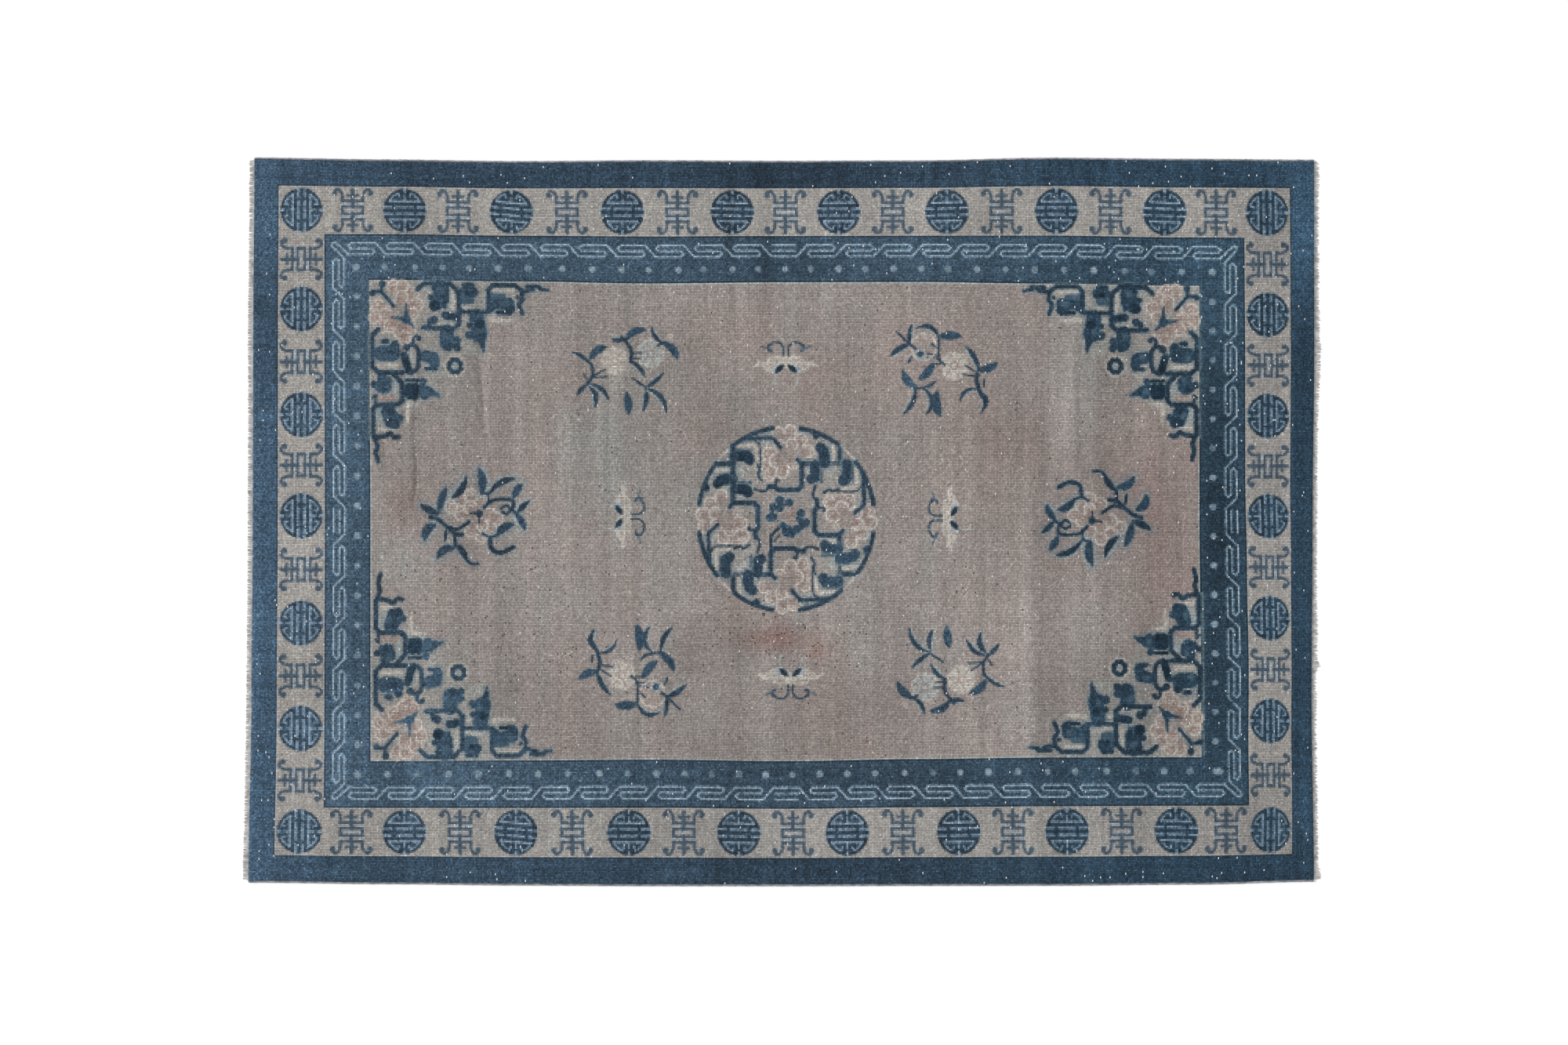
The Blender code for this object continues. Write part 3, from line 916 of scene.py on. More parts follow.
LINE_WEIGHT = 0.3
LEAF_WEIGHT = 0.7
CORNER_FLOWER = (24.6, 24.0)
CORNER_RING = (55.6, 52.2)


def corner(place):
    """Peony, key scrolls and leaves that fill one corner of the field."""
    filled(place, CORNER_GROUND, "pale green", 0.38)
    for rows, strength in CORNER_SHADES:
        filled(place, rows, "pale green", strength)
    for x, y, radius in CORNER_LOBES:
        lobe(place, x, y, radius, (21, 20), "peony pink")
    filled(place, CORNER_FADED, "peony pink", 0.8)
    halo(place, CORNER_LINES, 0.28)
    bars(place, CORNER_LIGHTS)
    bars(place, CORNER_BARS, LEAF_WEIGHT, 0.30)
    spots(place, CORNER_SPOTS)
    for rows, width in CORNER_LINES:
        stroke(place, rows, width + LINE_WEIGHT, "navy")
    for rows, width in CORNER_CURLS:
        curl(place, rows, width + LINE_WEIGHT, "navy")
    disc(place, *CORNER_FLOWER, 3.6, "leaf shade", 0.7)
    for tip in ((24.4, 14.4), (15.4, 22.8), (29.8, 29.2)):
        sweep(place, [CORNER_FLOWER, tip], [3.4, 1.0], "leaf blue")
    disc(place, *CORNER_FLOWER, 2.8, "leaf blue")
    disc(place, *CORNER_RING, 7.2, "ivory", 0.7)
    petals(place, *CORNER_RING, 3.9, 1.7, 8, 0.4, "navy")
    stroke(place, arc_rows(3.6, 0, 360, *CORNER_RING, 16), 2.4, "navy")
    disc(place, *CORNER_RING, 1.9, "leaf shade")


# The medallion: one quarter of it, turned four times about the middle

MEDALLION_RADIUS = 56.4
QUARTER_GROUND = (
    (-35, -45), (-20, -52), (-3, -45), (-14, -22), (-34, -18), (-52, -16), (-46, -33), (-35, -33),
)
QUARTER_LIGHTS = (
    (-30.4, -44.8, -20.8, -45.4, 2, 2, "ivory"),
    (-44.8, -30, -36.4, -30.2, 2.4, 2.2, "ivory"),
    (-30.6, -29.6, -27.6, -27.4, 4.6, 4, "pale green"),
    (-31, -14.2, -27.4, -13.8, 2.4, 2, "ivory"),
    (-19.4, -44.2, -18.4, -36.4, 1.6, 1.4, "ivory"),
    (-47.6, -27, -50.4, -22.8, 1.5, 1.2, "ivory"),
    (-14.6, -47, -10.4, -46.6, 1.6, 1.4, "pale flower"),
)
QUARTER_BARS = (
    (-33.4, -38.7, -24.6, -38.5, 4.4, 4.6),
    (-33, -18.4, -25.4, -18.2, 4.6, 4.4),
    (-34.4, -24.6, -42, -24, 5.2, 4.6),
)
QUARTER_STRIPES = (
    (-31.6, -42, -24, -41.7, 2.4, 2.4, "navy"),
    (-30.2, -22.4, -22.8, -22.4, 2, 1.8, "leaf blue"),
    (-35, -27.6, -40.4, -27.6, 1.6, 1.4, "leaf blue"),
)
QUARTER_TIPS = ((-23.4, -36.4, 2.8), (-24.5, -16.0, 2.6), (-43.7, -21.9, 2.8), (-51.1, -19.2, 1.8))
QUARTER_LEAF_DYES = ("deep leaf", "navy", "leaf blue", "navy")
QUARTER_LOBES = (
    (-4.8, -52.4, 4.2), (2.6, -54, 4.2), (9.4, -48.6, 4.2), (14.4, -41.6, 4), (-11.6, -40, 4.2),
    (-13.2, -33.2, 4), (3.4, -45.6, 4), (-3.4, -44.4, 4.2), (-6.6, -35.6, 4.4), (-10.6, -27.2, 3.8),
    (-2.6, -29, 4.2), (4.4, -34.6, 4.2),
)
QUARTER_LINES = (
    (((44.6, -34), (10, -34), (10, -20.6), (7.4, -18), (-5, -18), (-7.6, -19.8), (-11.4, -19.6)), 2.7),
    (((-26.6, -49.2), (-8.6, -49.9), (-3.6, -44)), 2.1),
    (((34, -44.6), (34, -34)), 2.9),
    (((7.4, -36.2), (10, -34)), 2.4),
)
QUARTER_CURLS = (
    (((-11.4, -19.6), (-13, -17.4), (-16.4, -17.2), (-20.2, -18.6)), 1.7),
    (((-6.6, -18.6), (-6.8, -22), (-6.2, -24.2), (-4.9, -23.6)), 1.6),
    (((-20.4, -48.4), (-16.8, -44.8), (-16.5, -32)), 1.1),
    (((-18.2, -33.4), (-17, -29.6), (-18, -27.6), (-16, -23.8)), 1.7),
)
ARC_SPANS = ((-98.5, -128.0), (-144.0, -170.5))
MASS_WEIGHT = 1.7
CENTRE_BLOSSOMS = (
    (-4.1, -11.5, 2.4), (1.9, -10.4, 2.2), (-8.4, -7.2, 2.3), (-4.4, -6.8, 2.1), (-10.6, -0.9, 2.1),
    (-7.9, -1.5, 1.9), (9.3, -3.6, 2.3), (8.4, 0.2, 1.9), (12.4, 2.4, 2.3), (9.6, 4.6, 1.9),
    (0.6, 7.4, 3.3), (3.6, 9.2, 2), (6.6, 6.4, 2.3), (-2, 3.8, 1.9),
)
CENTRE_STEMS = (
    ((1.9, -10.4), (-4.4, -6.8), (-8.4, -7.2), (-10.6, -0.9)),
    ((-4.1, -11.5), (-4.4, -6.8)),
    ((9.3, -3.6), (8.4, 0.2), (12.4, 2.4), (6.6, 6.4), (0.6, 7.4), (-2, 3.8)),
)


def medallion_quarter(place, leaf_dye):
    filled(place, QUARTER_GROUND, "pale green", 0.3)
    stroke(place, [(-34, -46), (-46, -34)], 1.3, "peony cream", 0.9)
    for start, end in ARC_SPANS:
        stroke(place, arc_rows(MEDALLION_RADIUS - 2, start, end), HALO, "soft teal", 0.4)
    for x, y, radius in QUARTER_LOBES:
        lobe(place, x, y, radius, (0, -39), "peony blush")
    bars(place, QUARTER_LIGHTS)
    bars(place, QUARTER_STRIPES)
    bars(place, [(*row, leaf_dye) for row in QUARTER_BARS], MASS_WEIGHT, 0.4)
    spots(place, [(x, y, radius + 0.5, leaf_dye) for x, y, radius in QUARTER_TIPS])
    halo(place, QUARTER_LINES, 0.3)
    for start, end in ARC_SPANS:
        stroke(place, arc_rows(MEDALLION_RADIUS, start, end), 2.8, "navy")
    for rows, width in QUARTER_LINES:
        stroke(place, rows, width + LINE_WEIGHT, "navy")
    for rows, width in QUARTER_CURLS:
        curl(place, rows, width, "navy")


def medallion(place):
    for turns, leaf_dye in enumerate(QUARTER_LEAF_DYES):
        medallion_quarter(Place(place.x, place.y, turns), leaf_dye)
    filled(place, ((3.0, -8.0), (9.6, -8.4), (6.0, 0.0), (5.0, 3.4), (-1.0, 0.6)), "peony pink", 0.6)
    stroke(place, [(-9.9, 20.0), (-9.9, 10.2), (-2.8, 3.4)], 1.9, "navy")
    stroke(place, [(-7.6, 13.2), (-4.2, 9.8)], 1.2, "navy")
    for bx, by, radius in CENTRE_BLOSSOMS:
        disc(place, bx, by, radius + 1.1, "leaf shade", 0.7)
    for rows in CENTRE_STEMS:
        stroke(place, rows, 2.1, "leaf blue")
    for bx, by, radius in CENTRE_BLOSSOMS:
        disc(place, bx, by, radius + 0.4, "leaf blue")


# The corners, each knotted a little off: mirroring in x and y, knots inwards in x and y, stretch
CORNERS = (
    (False, False, -1.0, 0.0, (1.0, 1.0)),
    (False, True, 0.5, 0.5, (1.0, 1.025)),
    (True, False, -1.2, -0.5, (0.985, 0.98)),
    (True, True, -2.0, 1.0, (0.97, 1.045)),
)

# The other motifs: their middle in knots from the rug's middle, and their quarter turns
MOTIFS = (
    (spray_a, -99, -94, 0),
    (spray_a, 102.5, 93, 2),
    (spray_b, -96, 92.5, 0),
    (spray_b, 100, -93, 2),
    (round_spray, -197.5, -3.2, 0),
    (round_spray, 198.5, -1.3, 2),
    (butterfly, 1, -97, 0),
    (butterfly, 3, 95.5, 2),
    (butterfly, -103, -3, 1),
    (butterfly, 105, -1.5, 3),
    (medallion, 0.9, -1.6, 0),
)


def field_motifs():
    for flip_x, flip_y, in_x, in_y, stretch in CORNERS:
        x = KNOTS - BORDER - in_x if flip_x else BORDER + in_x
        y = ROWS - BORDER - in_y if flip_y else BORDER + in_y
        corner(Place(x, y, 0, flip_x, flip_y, stretch=stretch))
    for draw, x, y, turns in MOTIFS:
        draw(Place(CENTRE[0] + x, CENTRE[1] + y, turns))


borders()
field_motifs()


# Wear, fading, the uneven dye and the painted light and shade of creases and folds, knot by knot


def cloud(knots_long, knots_wide):
    """Smooth noise with a mean of 0 and blotches of about this size, in knots."""
    wide = max(int(ROWS / knots_wide), 1) + 3
    long = max(int(KNOTS / knots_long), 1) + 3
    coarse = random.normal(0, 1, (wide, long))
    ys = np.arange(ROWS) / knots_wide
    xs = np.arange(KNOTS) / knots_long
    y0, x0 = ys.astype(int), xs.astype(int)
    ty = soft_step(ys - y0)[:, None]
    tx = soft_step(xs - x0)[None, :]
    top = coarse[y0][:, x0] * (1 - tx) + coarse[y0][:, x0 + 1] * tx
    bottom = coarse[y0 + 1][:, x0] * (1 - tx) + coarse[y0 + 1][:, x0 + 1] * tx
    return top * (1 - ty) + bottom * ty


def linear(colour):
    share = np.asarray(colour, float) / 255
    return np.where(share <= 0.04045, share / 12.92, ((share + 0.055) / 1.055) ** 2.4)


knots_x, knots_y = np.meshgrid(np.arange(KNOTS) - CENTRE[0], np.arange(ROWS) - CENTRE[1])
TOWARDS = {"left": -knots_x, "right": knots_x, "near": knots_y, "far": -knots_y}


def rise(towards, start, reach):
    """0 up to this many knots from the rug's middle towards a side, easing to 1 over the reach."""
    return soft_step((TOWARDS[towards] - start) / reach)


def clouds(table):
    """Clouds laid over each other, from rows of strength and blotch size along and across."""
    return sum(strength * cloud(knots_long, knots_wide) for strength, knots_long, knots_wide in table)


def fold_painted_shading():
    """Painted shade and painted light along the sharp folds: darker on one side of the line and paler on
    the other.
    """
    x_mm = knots_x * KNOT_LONG / MM
    y_mm = -knots_y * KNOT_WIDE / MM
    painted_fold_shading = np.zeros_like(x_mm)
    for row in FOLDS:
        away, strength = fold_reach(row, x_mm, y_mm)
        dark, pale = (np.exp(-(((away - aside) / half) ** 2)) for aside, half in (FOLD_SHADE_SIDE, FOLD_LIGHT_SIDE))
        painted_fold_shading += strength * (FOLD_PAINTED_LIGHT * pale - FOLD_PAINTED_SHADE * dark)
    return painted_fold_shading


# Soft patches: place from the rug's middle and half-width both ways, in knots, then strength.
# Blush makes the ground redder, tone makes every dye paler, and dye lots make the blues paler.
# Where the strength is under 0 they do the opposite
BLUSH_PATCHES = (
    (240, -10, 34, 60, 0.9), (255, 60, 26, 40, 0.6), (150, -20, 50, 70, 0.45),
    (90, -95, 46, 40, 0.5), (-20, -110, 60, 24, 0.35), (-6, 72, 22, 7, 2.1), (20, 79, 7, 4, 1.4),
    (-5, 62, 9, 11, 1), (-12, -125, 10, 30, 0.5), (-246, -10, 12, 14, 0.6),
    (-246, 28, 18, 16, -0.6), (186, -90, 22, 28, -0.7), (-120, -35, 34, 40, -0.5),
    (-150, -30, 30, 60, 0.3), (-230, 30, 30, 50, 0.35), (60, 110, 60, 30, 0.35),
    (-60, 60, 40, 30, 0.25),
)
TONE_PATCHES = (
    (-165, -118, 34, 26, -0.02), (72, -42, 34, 40, -0.07), (48, 124, 46, 26, -0.12),
    (-42, -126, 40, 24, 0.07), (-246, 24, 24, 36, 0.07), (246, -6, 30, 50, -0.10),
    (-6, 72, 22, 8, -0.18), (-58, 78, 18, 16, -0.20), (-28, 80, 8, 16, -0.15),
    (42, 90, 16, 14, 0.08), (20, 79, 7, 4, -0.08), (-12, -125, 9, 30, -0.08),
    (-246, -10, 12, 12, -0.10), (-246, 28, 16, 14, 0.06), (186, -90, 20, 26, 0.10),
    (-30, 20, 60, 50, 0.03), (-145, 125, 44, 26, -0.10), (158, 66, 36, 30, 0.16),
    (200, 20, 26, 30, 0.08), (-215, 0, 26, 60, 0.07), (235, -115, 45, 40, -0.16),
    (235, 115, 45, 40, -0.24), (-235, -115, 45, 40, -0.08), (-235, 115, 45, 40, -0.08),
    (198, -4, 34, 34, -0.16), (-197, -4, 34, 34, -0.12),
)
DYE_LOTS = (
    (-330, -118, 12, 45, -0.33), (-330, 100, 12, 90, -0.04), (334, -182, 14, 52, 0.95),
    (334, 70, 12, 20, 0.22), (334, 178, 12, 25, 0.20), (-185, -212, 90, 14, -0.13),
    (0, -212, 56, 14, -0.46), (265, -212, 40, 12, -0.12), (10, 212, 60, 14, -0.36),
    (265, 212, 40, 12, -0.12), (180, 212, 30, 12, 0.08), (-275, -50, 18, 50, 0.25),
    (-275, 100, 18, 40, -0.15), (276, -20, 18, 100, -0.60), (276, 120, 18, 40, -0.22),
    (10, -158, 34, 18, -0.40), (200, -158, 90, 18, -0.22), (0, 158, 60, 18, -0.26),
    (170, 158, 110, 18, -0.26), (276, 18, 18, 50, -0.25), (276, -143, 18, 30, 0.20),
    (90, 158, 60, 18, -0.15), (235, -115, 45, 40, -0.06), (235, 115, 45, 40, -0.12),
    (-235, -115, 45, 40, 0.22), (-235, 115, 45, 40, 0.36), (-197, -4, 34, 34, -0.16),
    (198, -4, 34, 34, -0.24),
)
# Painted light and shade of the creases: bands across the pile, paler where the strength is over 0 and
# darker where it is under, in the same columns as the patches
PAINTED_CREASE_BANDS = (
    (-190, -50, 4, 110, 0.09), (154, 75, 5, 75, 0.18), (154, 185, 6, 50, 0.16),
    (163, 90, 5, 80, -0.09), (178, -76, 8, 100, 0.12), (177, -66, 6, 24, 0.15),
    (174, -51, 6, 18, 0.16), (151, -53, 5, 26, -0.18), (142, 85, 7, 75, 0.15),
    (156, 85, 3, 75, -0.10), (168, 85, 6, 75, -0.09), (-150, 0, 30, 999, 0.05),
    (60, 0, 40, 999, 0.04), (-45, 0, 10, 999, -0.05), (-36, -175, 5, 70, -0.17),
    (-29, -175, 3, 60, 0.12), (-14, -175, 6, 70, -0.13), (-20, 0, 16, 999, -0.04),
    (172, 60, 12, 999, -0.05), (210, 0, 20, 999, -0.05), (-250, 0, 10, 999, -0.04),
)
DARK_SPECK_PATCHES = ((-185, 60, 60, 36, 0.010), (0, 72, 42, 18, 0.022))

# Clouds: strength, and size of a blotch along and across the rug in knots
TONE_CLOUDS = (
    (0.050, 5, 160), (0.030, 2, 60), (0.042, 34, 40), (0.025, 90, 70),
    (0.022, 12, 12), (0.030, 7, 0.9), (0.022, 0.9, 9),
)
BLUE_CLOUDS = ((0.07, 60, 50), (0.08, 4, 200), (0.08, 30, 2.2))
BLUSH_CLOUDS = ((0.20, 26, 34), (0.12, 8, 60))

# Slopes of tone towards a side: where each starts and its reach, in knots, and its strength
BLUE_SLOPES = (
    ("left", 230, 100, 0.26), ("right", 190, 120, -0.10),
    ("left", 318, 12, 0.30), ("right", 318, 12, -0.14),
)
GROUND_SLOPES = (("left", 200, 100, 0.05), ("near", 120, 80, -0.06), ("right", 220, 100, -0.08))
KNOT_NOISE = 0.16
BLUE_KNOT_NOISE = 0.24
ROW_NOISE = 0.022
COLUMN_NOISE = 0.016
BLUSH_TINT = (0.02, -0.10, -0.11)
RIGHT_TINT = (-0.20, -0.04, 0.0)

# Shares of knots worn to the cotton: everywhere, more in the far right corner and more in the blues
BARE_SHARE = 0.0012
BARE_CORNER = 0.0022
BARE_BLUE = 0.0010
BARE_BLUE_RIGHT = 0.0015
DARK_SHARE = 0.0015


def patches(table):
    total = np.zeros((ROWS, KNOTS))
    for x, y, wide, high, strength in table:
        total += strength * np.exp(-(((knots_x - x) / wide) ** 2) - ((knots_y - y) / high) ** 2)
    return total


def slopes(table):
    return sum(strength * rise(towards, start, reach) for towards, start, reach, strength in table)


def dyed_knots():
    """Linear colour of every knot and its share of bare cotton, from the chart, the wear and the painted
    light and shade of creases and folds.
    """
    colour = linear(chart[:, :, :3])
    blue = chart[:, :, 3:4] / 255
    ground = chart[:, :, 4:5] / 255

    tone_and_painted_shade = clouds(TONE_CLOUDS)
    tone_and_painted_shade += random.normal(0, KNOT_NOISE, tone_and_painted_shade.shape)
    tone_and_painted_shade += random.normal(0, ROW_NOISE, (ROWS, 1)) + random.normal(0, COLUMN_NOISE, (1, KNOTS))
    # The crease bands and the fold lines added here are painted light and shade, laid over the wool's own
    # tone
    tone_and_painted_shade += patches(TONE_PATCHES) + patches(PAINTED_CREASE_BANDS) + fold_painted_shading()
    colour = colour * np.exp(tone_and_painted_shade)[..., None]

    fade = slopes(BLUE_SLOPES) + 0.08 * rise("near", 190, 20) * rise("left", -40, 120)
    fade += clouds(BLUE_CLOUDS) + random.normal(0, BLUE_KNOT_NOISE, fade.shape) + patches(DYE_LOTS)
    tint = fade[..., None] + rise("right", 60, 200)[..., None] * np.array(RIGHT_TINT)
    colour = colour * np.exp(tint * blue)
    colour = colour * np.exp(slopes(GROUND_SLOPES)[..., None] * (1 - blue))
    warmth = clouds(BLUSH_CLOUDS) + patches(BLUSH_PATCHES)
    colour = colour * np.exp(warmth[..., None] * np.array(BLUSH_TINT) * ground)

    chance = random.random(tone_and_painted_shade.shape)
    in_corner = rise("right", -60, 300) * rise("far", -60, 200)
    in_blue = (BARE_BLUE + BARE_BLUE_RIGHT * rise("right", 100, 200)) * blue[..., 0]
    bare = (chance < BARE_SHARE + BARE_CORNER * in_corner + in_blue).astype(float)
    is_dark = (chance > 1 - DARK_SHARE - patches(DARK_SPECK_PATCHES)) & (ground[..., 0] > 0.9)
    colour[is_dark] = linear(DYES["dark speck"])
    colour = np.clip(colour / LIGHT_GAIN, 0.0, 1.0)
    return np.concatenate([colour, bare[..., None]], axis=2)


knot_colours = dyed_knots()


# Materials

# Half the width of the cotton dash where a knot is worn away, as a share of half a knot
BARE_DASH = 0.6


def feed(tree, sockets, inputs):
    """Gives each named socket a value, or the output of another node."""
    for key, value in inputs.items():
        if isinstance(value, bpy.types.NodeSocket):
            tree.links.new(value, sockets[key])
        else:
            sockets[key].default_value = value


def node_material(name, **inputs):
    """A material, its nodes and its shader's inputs; _ stands for a space in an input's name."""
    material = bpy.data.materials.new(name)
    material.use_nodes = True
    tree = material.node_tree
    shader = tree.nodes["Principled BSDF"].inputs
    feed(tree, shader, {key.replace("_", " "): value for key, value in inputs.items()})
    return material, tree, shader


def add_node(tree, kind, inputs=None, **settings):
    node = tree.nodes.new(kind)
    for key, value in settings.items():
        setattr(node, key, value)
    feed(tree, node.inputs, inputs or {})
    return node.outputs


def noise_node(tree, vector, scale, detail):
    inputs = {"Scale": scale, "Detail": detail, "Vector": vector}
    return add_node(tree, "ShaderNodeTexNoise", inputs)["Fac"]


def ranged(tree, value, low, high):
    inputs = {"To Min": low, "To Max": high, "Value": value}
    return add_node(tree, "ShaderNodeMapRange", inputs)["Result"]


def bump(tree, height, strength, distance):
    inputs = {"Strength": strength, "Distance": distance, "Height": height}
    return add_node(tree, "ShaderNodeBump", inputs)["Normal"]


def maths(tree, operation, *values):
    inputs = dict(enumerate(values))
    return add_node(tree, "ShaderNodeMath", inputs, operation=operation)["Value"]


def knot_axis(tree, axis):
    """Distance from a knot's middle line along one axis of the map in knots: 0 to 1 at its edge."""
    knots = add_node(tree, "ShaderNodeUVMap", uv_map="knots")["UV"]
    share = maths(tree, "FRACT", add_node(tree, "ShaderNodeSeparateXYZ", {0: knots})[axis])
    return maths(tree, "ABSOLUTE", maths(tree, "MULTIPLY_ADD", share, 2.0, -1.0))


def wool_material(name, row_gap, column_gap, fibre):
    """Dyed knots: colour from the chart, painted shade between tufts, bare warps, fibres and a faint
    sheen.
    """
    material, tree, shader = node_material(
        name, Sheen_Weight=0.08, Sheen_Roughness=0.5, Specular_IOR_Level=0.12
    )
    dye = add_node(tree, "ShaderNodeAttribute", attribute_name="knot_dye")
    place = add_node(tree, "ShaderNodeTexCoord")["Object"]
    column = knot_axis(tree, "X")
    # Darker between the tufts: painted shade in the gaps between knots, from the same tuft height that
    # drives the bump
    across = maths(tree, "MULTIPLY", maths(tree, "POWER", knot_axis(tree, "Y"), 2.0), row_gap)
    dip = maths(tree, "MULTIPLY_ADD", maths(tree, "POWER", column, 2.0), column_gap, across)
    tuft_and_gap_shade = maths(tree, "SUBTRACT", 1.0 + (row_gap + column_gap) / 3, dip)
    fibres = noise_node(tree, place, 900.0, 4.0)
    shade = maths(tree, "MULTIPLY", tuft_and_gap_shade, ranged(tree, fibres, 1 - fibre, 1 + fibre))
    blotches = ranged(tree, noise_node(tree, place, 9.0, 5.0), 0.94, 1.06)
    shade = maths(tree, "MULTIPLY", shade, blotches)
    shaded = add_node(
        tree, "ShaderNodeVectorMath", {0: dye["Color"], "Scale": shade}, operation="SCALE"
    )
    dash = maths(tree, "MULTIPLY", maths(tree, "LESS_THAN", column, BARE_DASH), dye["Alpha"])
    cotton = (*linear(DYES["cotton speck"]), 1.0)
    layers = {"Factor": dash, "A": shaded["Vector"], "B": cotton}
    height = maths(tree, "MULTIPLY_ADD", fibres, 0.5, tuft_and_gap_shade)
    looks = {
        "Base Color": add_node(tree, "ShaderNodeMix", layers, data_type="RGBA")["Result"],
        "Normal": bump(tree, height, 0.5, 0.0006),
        "Roughness": ranged(tree, fibres, 0.84, 1.0),
    }
    feed(tree, shader, looks)
    return material


def yarn_material(name, colours):
    """Undyed or plain yarn: two tones that drift along it, with fine fibres."""
    material, tree, shader = node_material(
        name, Sheen_Weight=0.15, Sheen_Roughness=0.4, Specular_IOR_Level=0.12
    )
    place = add_node(tree, "ShaderNodeTexCoord")["Object"]
    drift = ranged(tree, noise_node(tree, place, 60.0, 6.0), -0.75, 1.75)
    dark, pale = ((*linear(colour), 1.0) for colour in colours)
    tones = {"Factor": drift, "A": dark, "B": pale}
    fibres = noise_node(tree, place, 2200.0, 3.0)
    looks = {
        "Base Color": add_node(tree, "ShaderNodeMix", tones, data_type="RGBA")["Result"],
        "Normal": bump(tree, fibres, 0.4, 0.0003),
        "Roughness": ranged(tree, fibres, 0.8, 1.0),
    }
    feed(tree, shader, looks)
    return material


wool = wool_material("wool_pile", 0.75, 0.35, 0.12)
back_wool = wool_material("wool_back", 0.60, 0.60, 0.16)
selvage_yarn = yarn_material("selvage_yarn", ((88, 100, 112), (158, 156, 160)))
cotton = yarn_material("warp_cotton", ((138, 136, 134), (196, 195, 194)))


# Pieces


def link(name, data):
    thing = bpy.data.objects.new(name, data)
    bpy.context.scene.collection.objects.link(thing)
    return thing


def link_mesh(name, mesh, material):
    mesh.materials.append(material)
    piece = link(name, mesh)
    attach(piece, "root")
    return piece


def mesh_of(name, bm):
    mesh = bpy.data.meshes.new(name)
    bm.to_mesh(mesh)
    bm.free()
    return mesh


def open_edges(bm):
    return [edge for edge in bm.edges if edge.is_boundary]


def close_side(bm, z):
    """Walls from the rim of an open grid to one plain face at this height."""
    wall = bmesh.ops.extrude_edge_only(bm, edges=open_edges(bm))["geom"]
    for vert in (item for item in wall if isinstance(item, bmesh.types.BMVert)):
        vert.co.z = z
    bmesh.ops.contextual_create(bm, geom=open_edges(bm))
    bmesh.ops.recalc_face_normals(bm, faces=bm.faces)


def read_ints(items, name):
    values = np.empty(len(items), int)
    items.foreach_get(name, values)
    return values


def slab(name, first, last, step, place_vertex, rim_z):
    """A closed slab of the chart from knot first to knot last, one face for each step knots.

    Its other side is plain, under the knots where rim_z is -1 and above them where it is 1.
    """
    columns = (last - first) // step
    rows = ROWS // step
    bm = bmesh.new()
    bmesh.ops.create_grid(bm, x_segments=columns, y_segments=rows, size=0.5)
    close_side(bm, rim_z)
    mesh = mesh_of(name, bm)

    grid = np.empty(len(mesh.vertices) * 3)
    mesh.vertices.foreach_get("co", grid)
    grid = grid.reshape(-1, 3)
    knot = first + np.round((grid[:, 0] + 0.5) * columns) * step
    row = ROWS - np.round((grid[:, 1] + 0.5) * rows) * step
    mesh.vertices.foreach_set("co", place_vertex(knot, row, np.abs(grid[:, 2]) > 0.5).ravel())

    corners = read_ints(mesh.loops, "vertex_index")
    knots_map = np.stack([knot[corners], ROWS - row[corners]], axis=1)
    mesh.uv_layers.new(name="knots").data.foreach_set("uv", knots_map.ravel())

    counts = read_ints(mesh.polygons, "loop_total")
    face = np.repeat(np.arange(len(counts)), counts)
    at_knot = (np.bincount(face, knot[corners]) / counts).astype(int).clip(0, KNOTS - 1)
    at_row = (np.bincount(face, row[corners]) / counts).astype(int).clip(0, ROWS - 1)
    dyes = mesh.color_attributes.new("knot_dye", "FLOAT_COLOR", "CORNER").data
    dyes.foreach_set("color", knot_colours[at_row, at_knot][face].ravel())
    mesh.update()
    return mesh


# The pile's rounding at its rim, in knots, and its plain underside just above the foundation
RIM_KNOTS = 2
PILE_FOOT = FOUNDATION_TOP + 0.0001

uneven = random.normal(0, KNOT_UNEVEN, (ROWS + 1, KNOTS + 1))


def pile_vertex(knot, row, is_plain):
    x, y = plan(knot / KNOTS, 1 - row / ROWS)
    inwards = np.minimum.reduce([knot, KNOTS - knot, row, ROWS - row])
    rounding = np.sqrt(np.clip(inwards / RIM_KNOTS, 0, 1))
    height = EDGE_THICKNESS + (PILE_THICKNESS + relief(x, y) - EDGE_THICKNESS) * rounding
    height = height + uneven[row.astype(int), knot.astype(int)]
    return np.stack([x, y, np.where(is_plain, PILE_FOOT, height)], axis=1)


def back_vertex(knot, row, is_plain):
    x, y = plan(knot / KNOTS, 1 - row / ROWS)
    ridge = BACK_RIDGE * ((knot / BACK_STEP + row / BACK_STEP) % 2)
    return np.stack([x, y, np.where(is_plain, FOUNDATION_TOP, GROUND_GAP + ridge)], axis=1)


def pile_panels():
    panels = []
    width = KNOTS // PANELS
    for index in range(PANELS):
        name = f"pile_{index + 1}"
        mesh = slab(name, index * width, (index + 1) * width, 1, pile_vertex, -1.0)
        panels.append(link_mesh(name, mesh, wool))
    return panels


def foundation():
    mesh = slab("foundation", 0, KNOTS, BACK_STEP, back_vertex, 1.0)
    return link_mesh("foundation", mesh, back_wool)


SELVAGE_TURN = 0.0052
SELVAGE_STEPS = 4
SELVAGE_SIDES = 8
SELVAGE_LEAN = 0.22
SELVAGE_SWELL = 0.10

# The sheet's four sides: share along or across it, and which way is outwards
SIDES = {"left": (0.0, -1), "right": (1.0, 1), "near": (0.0, -1), "far": (1.0, 1)}


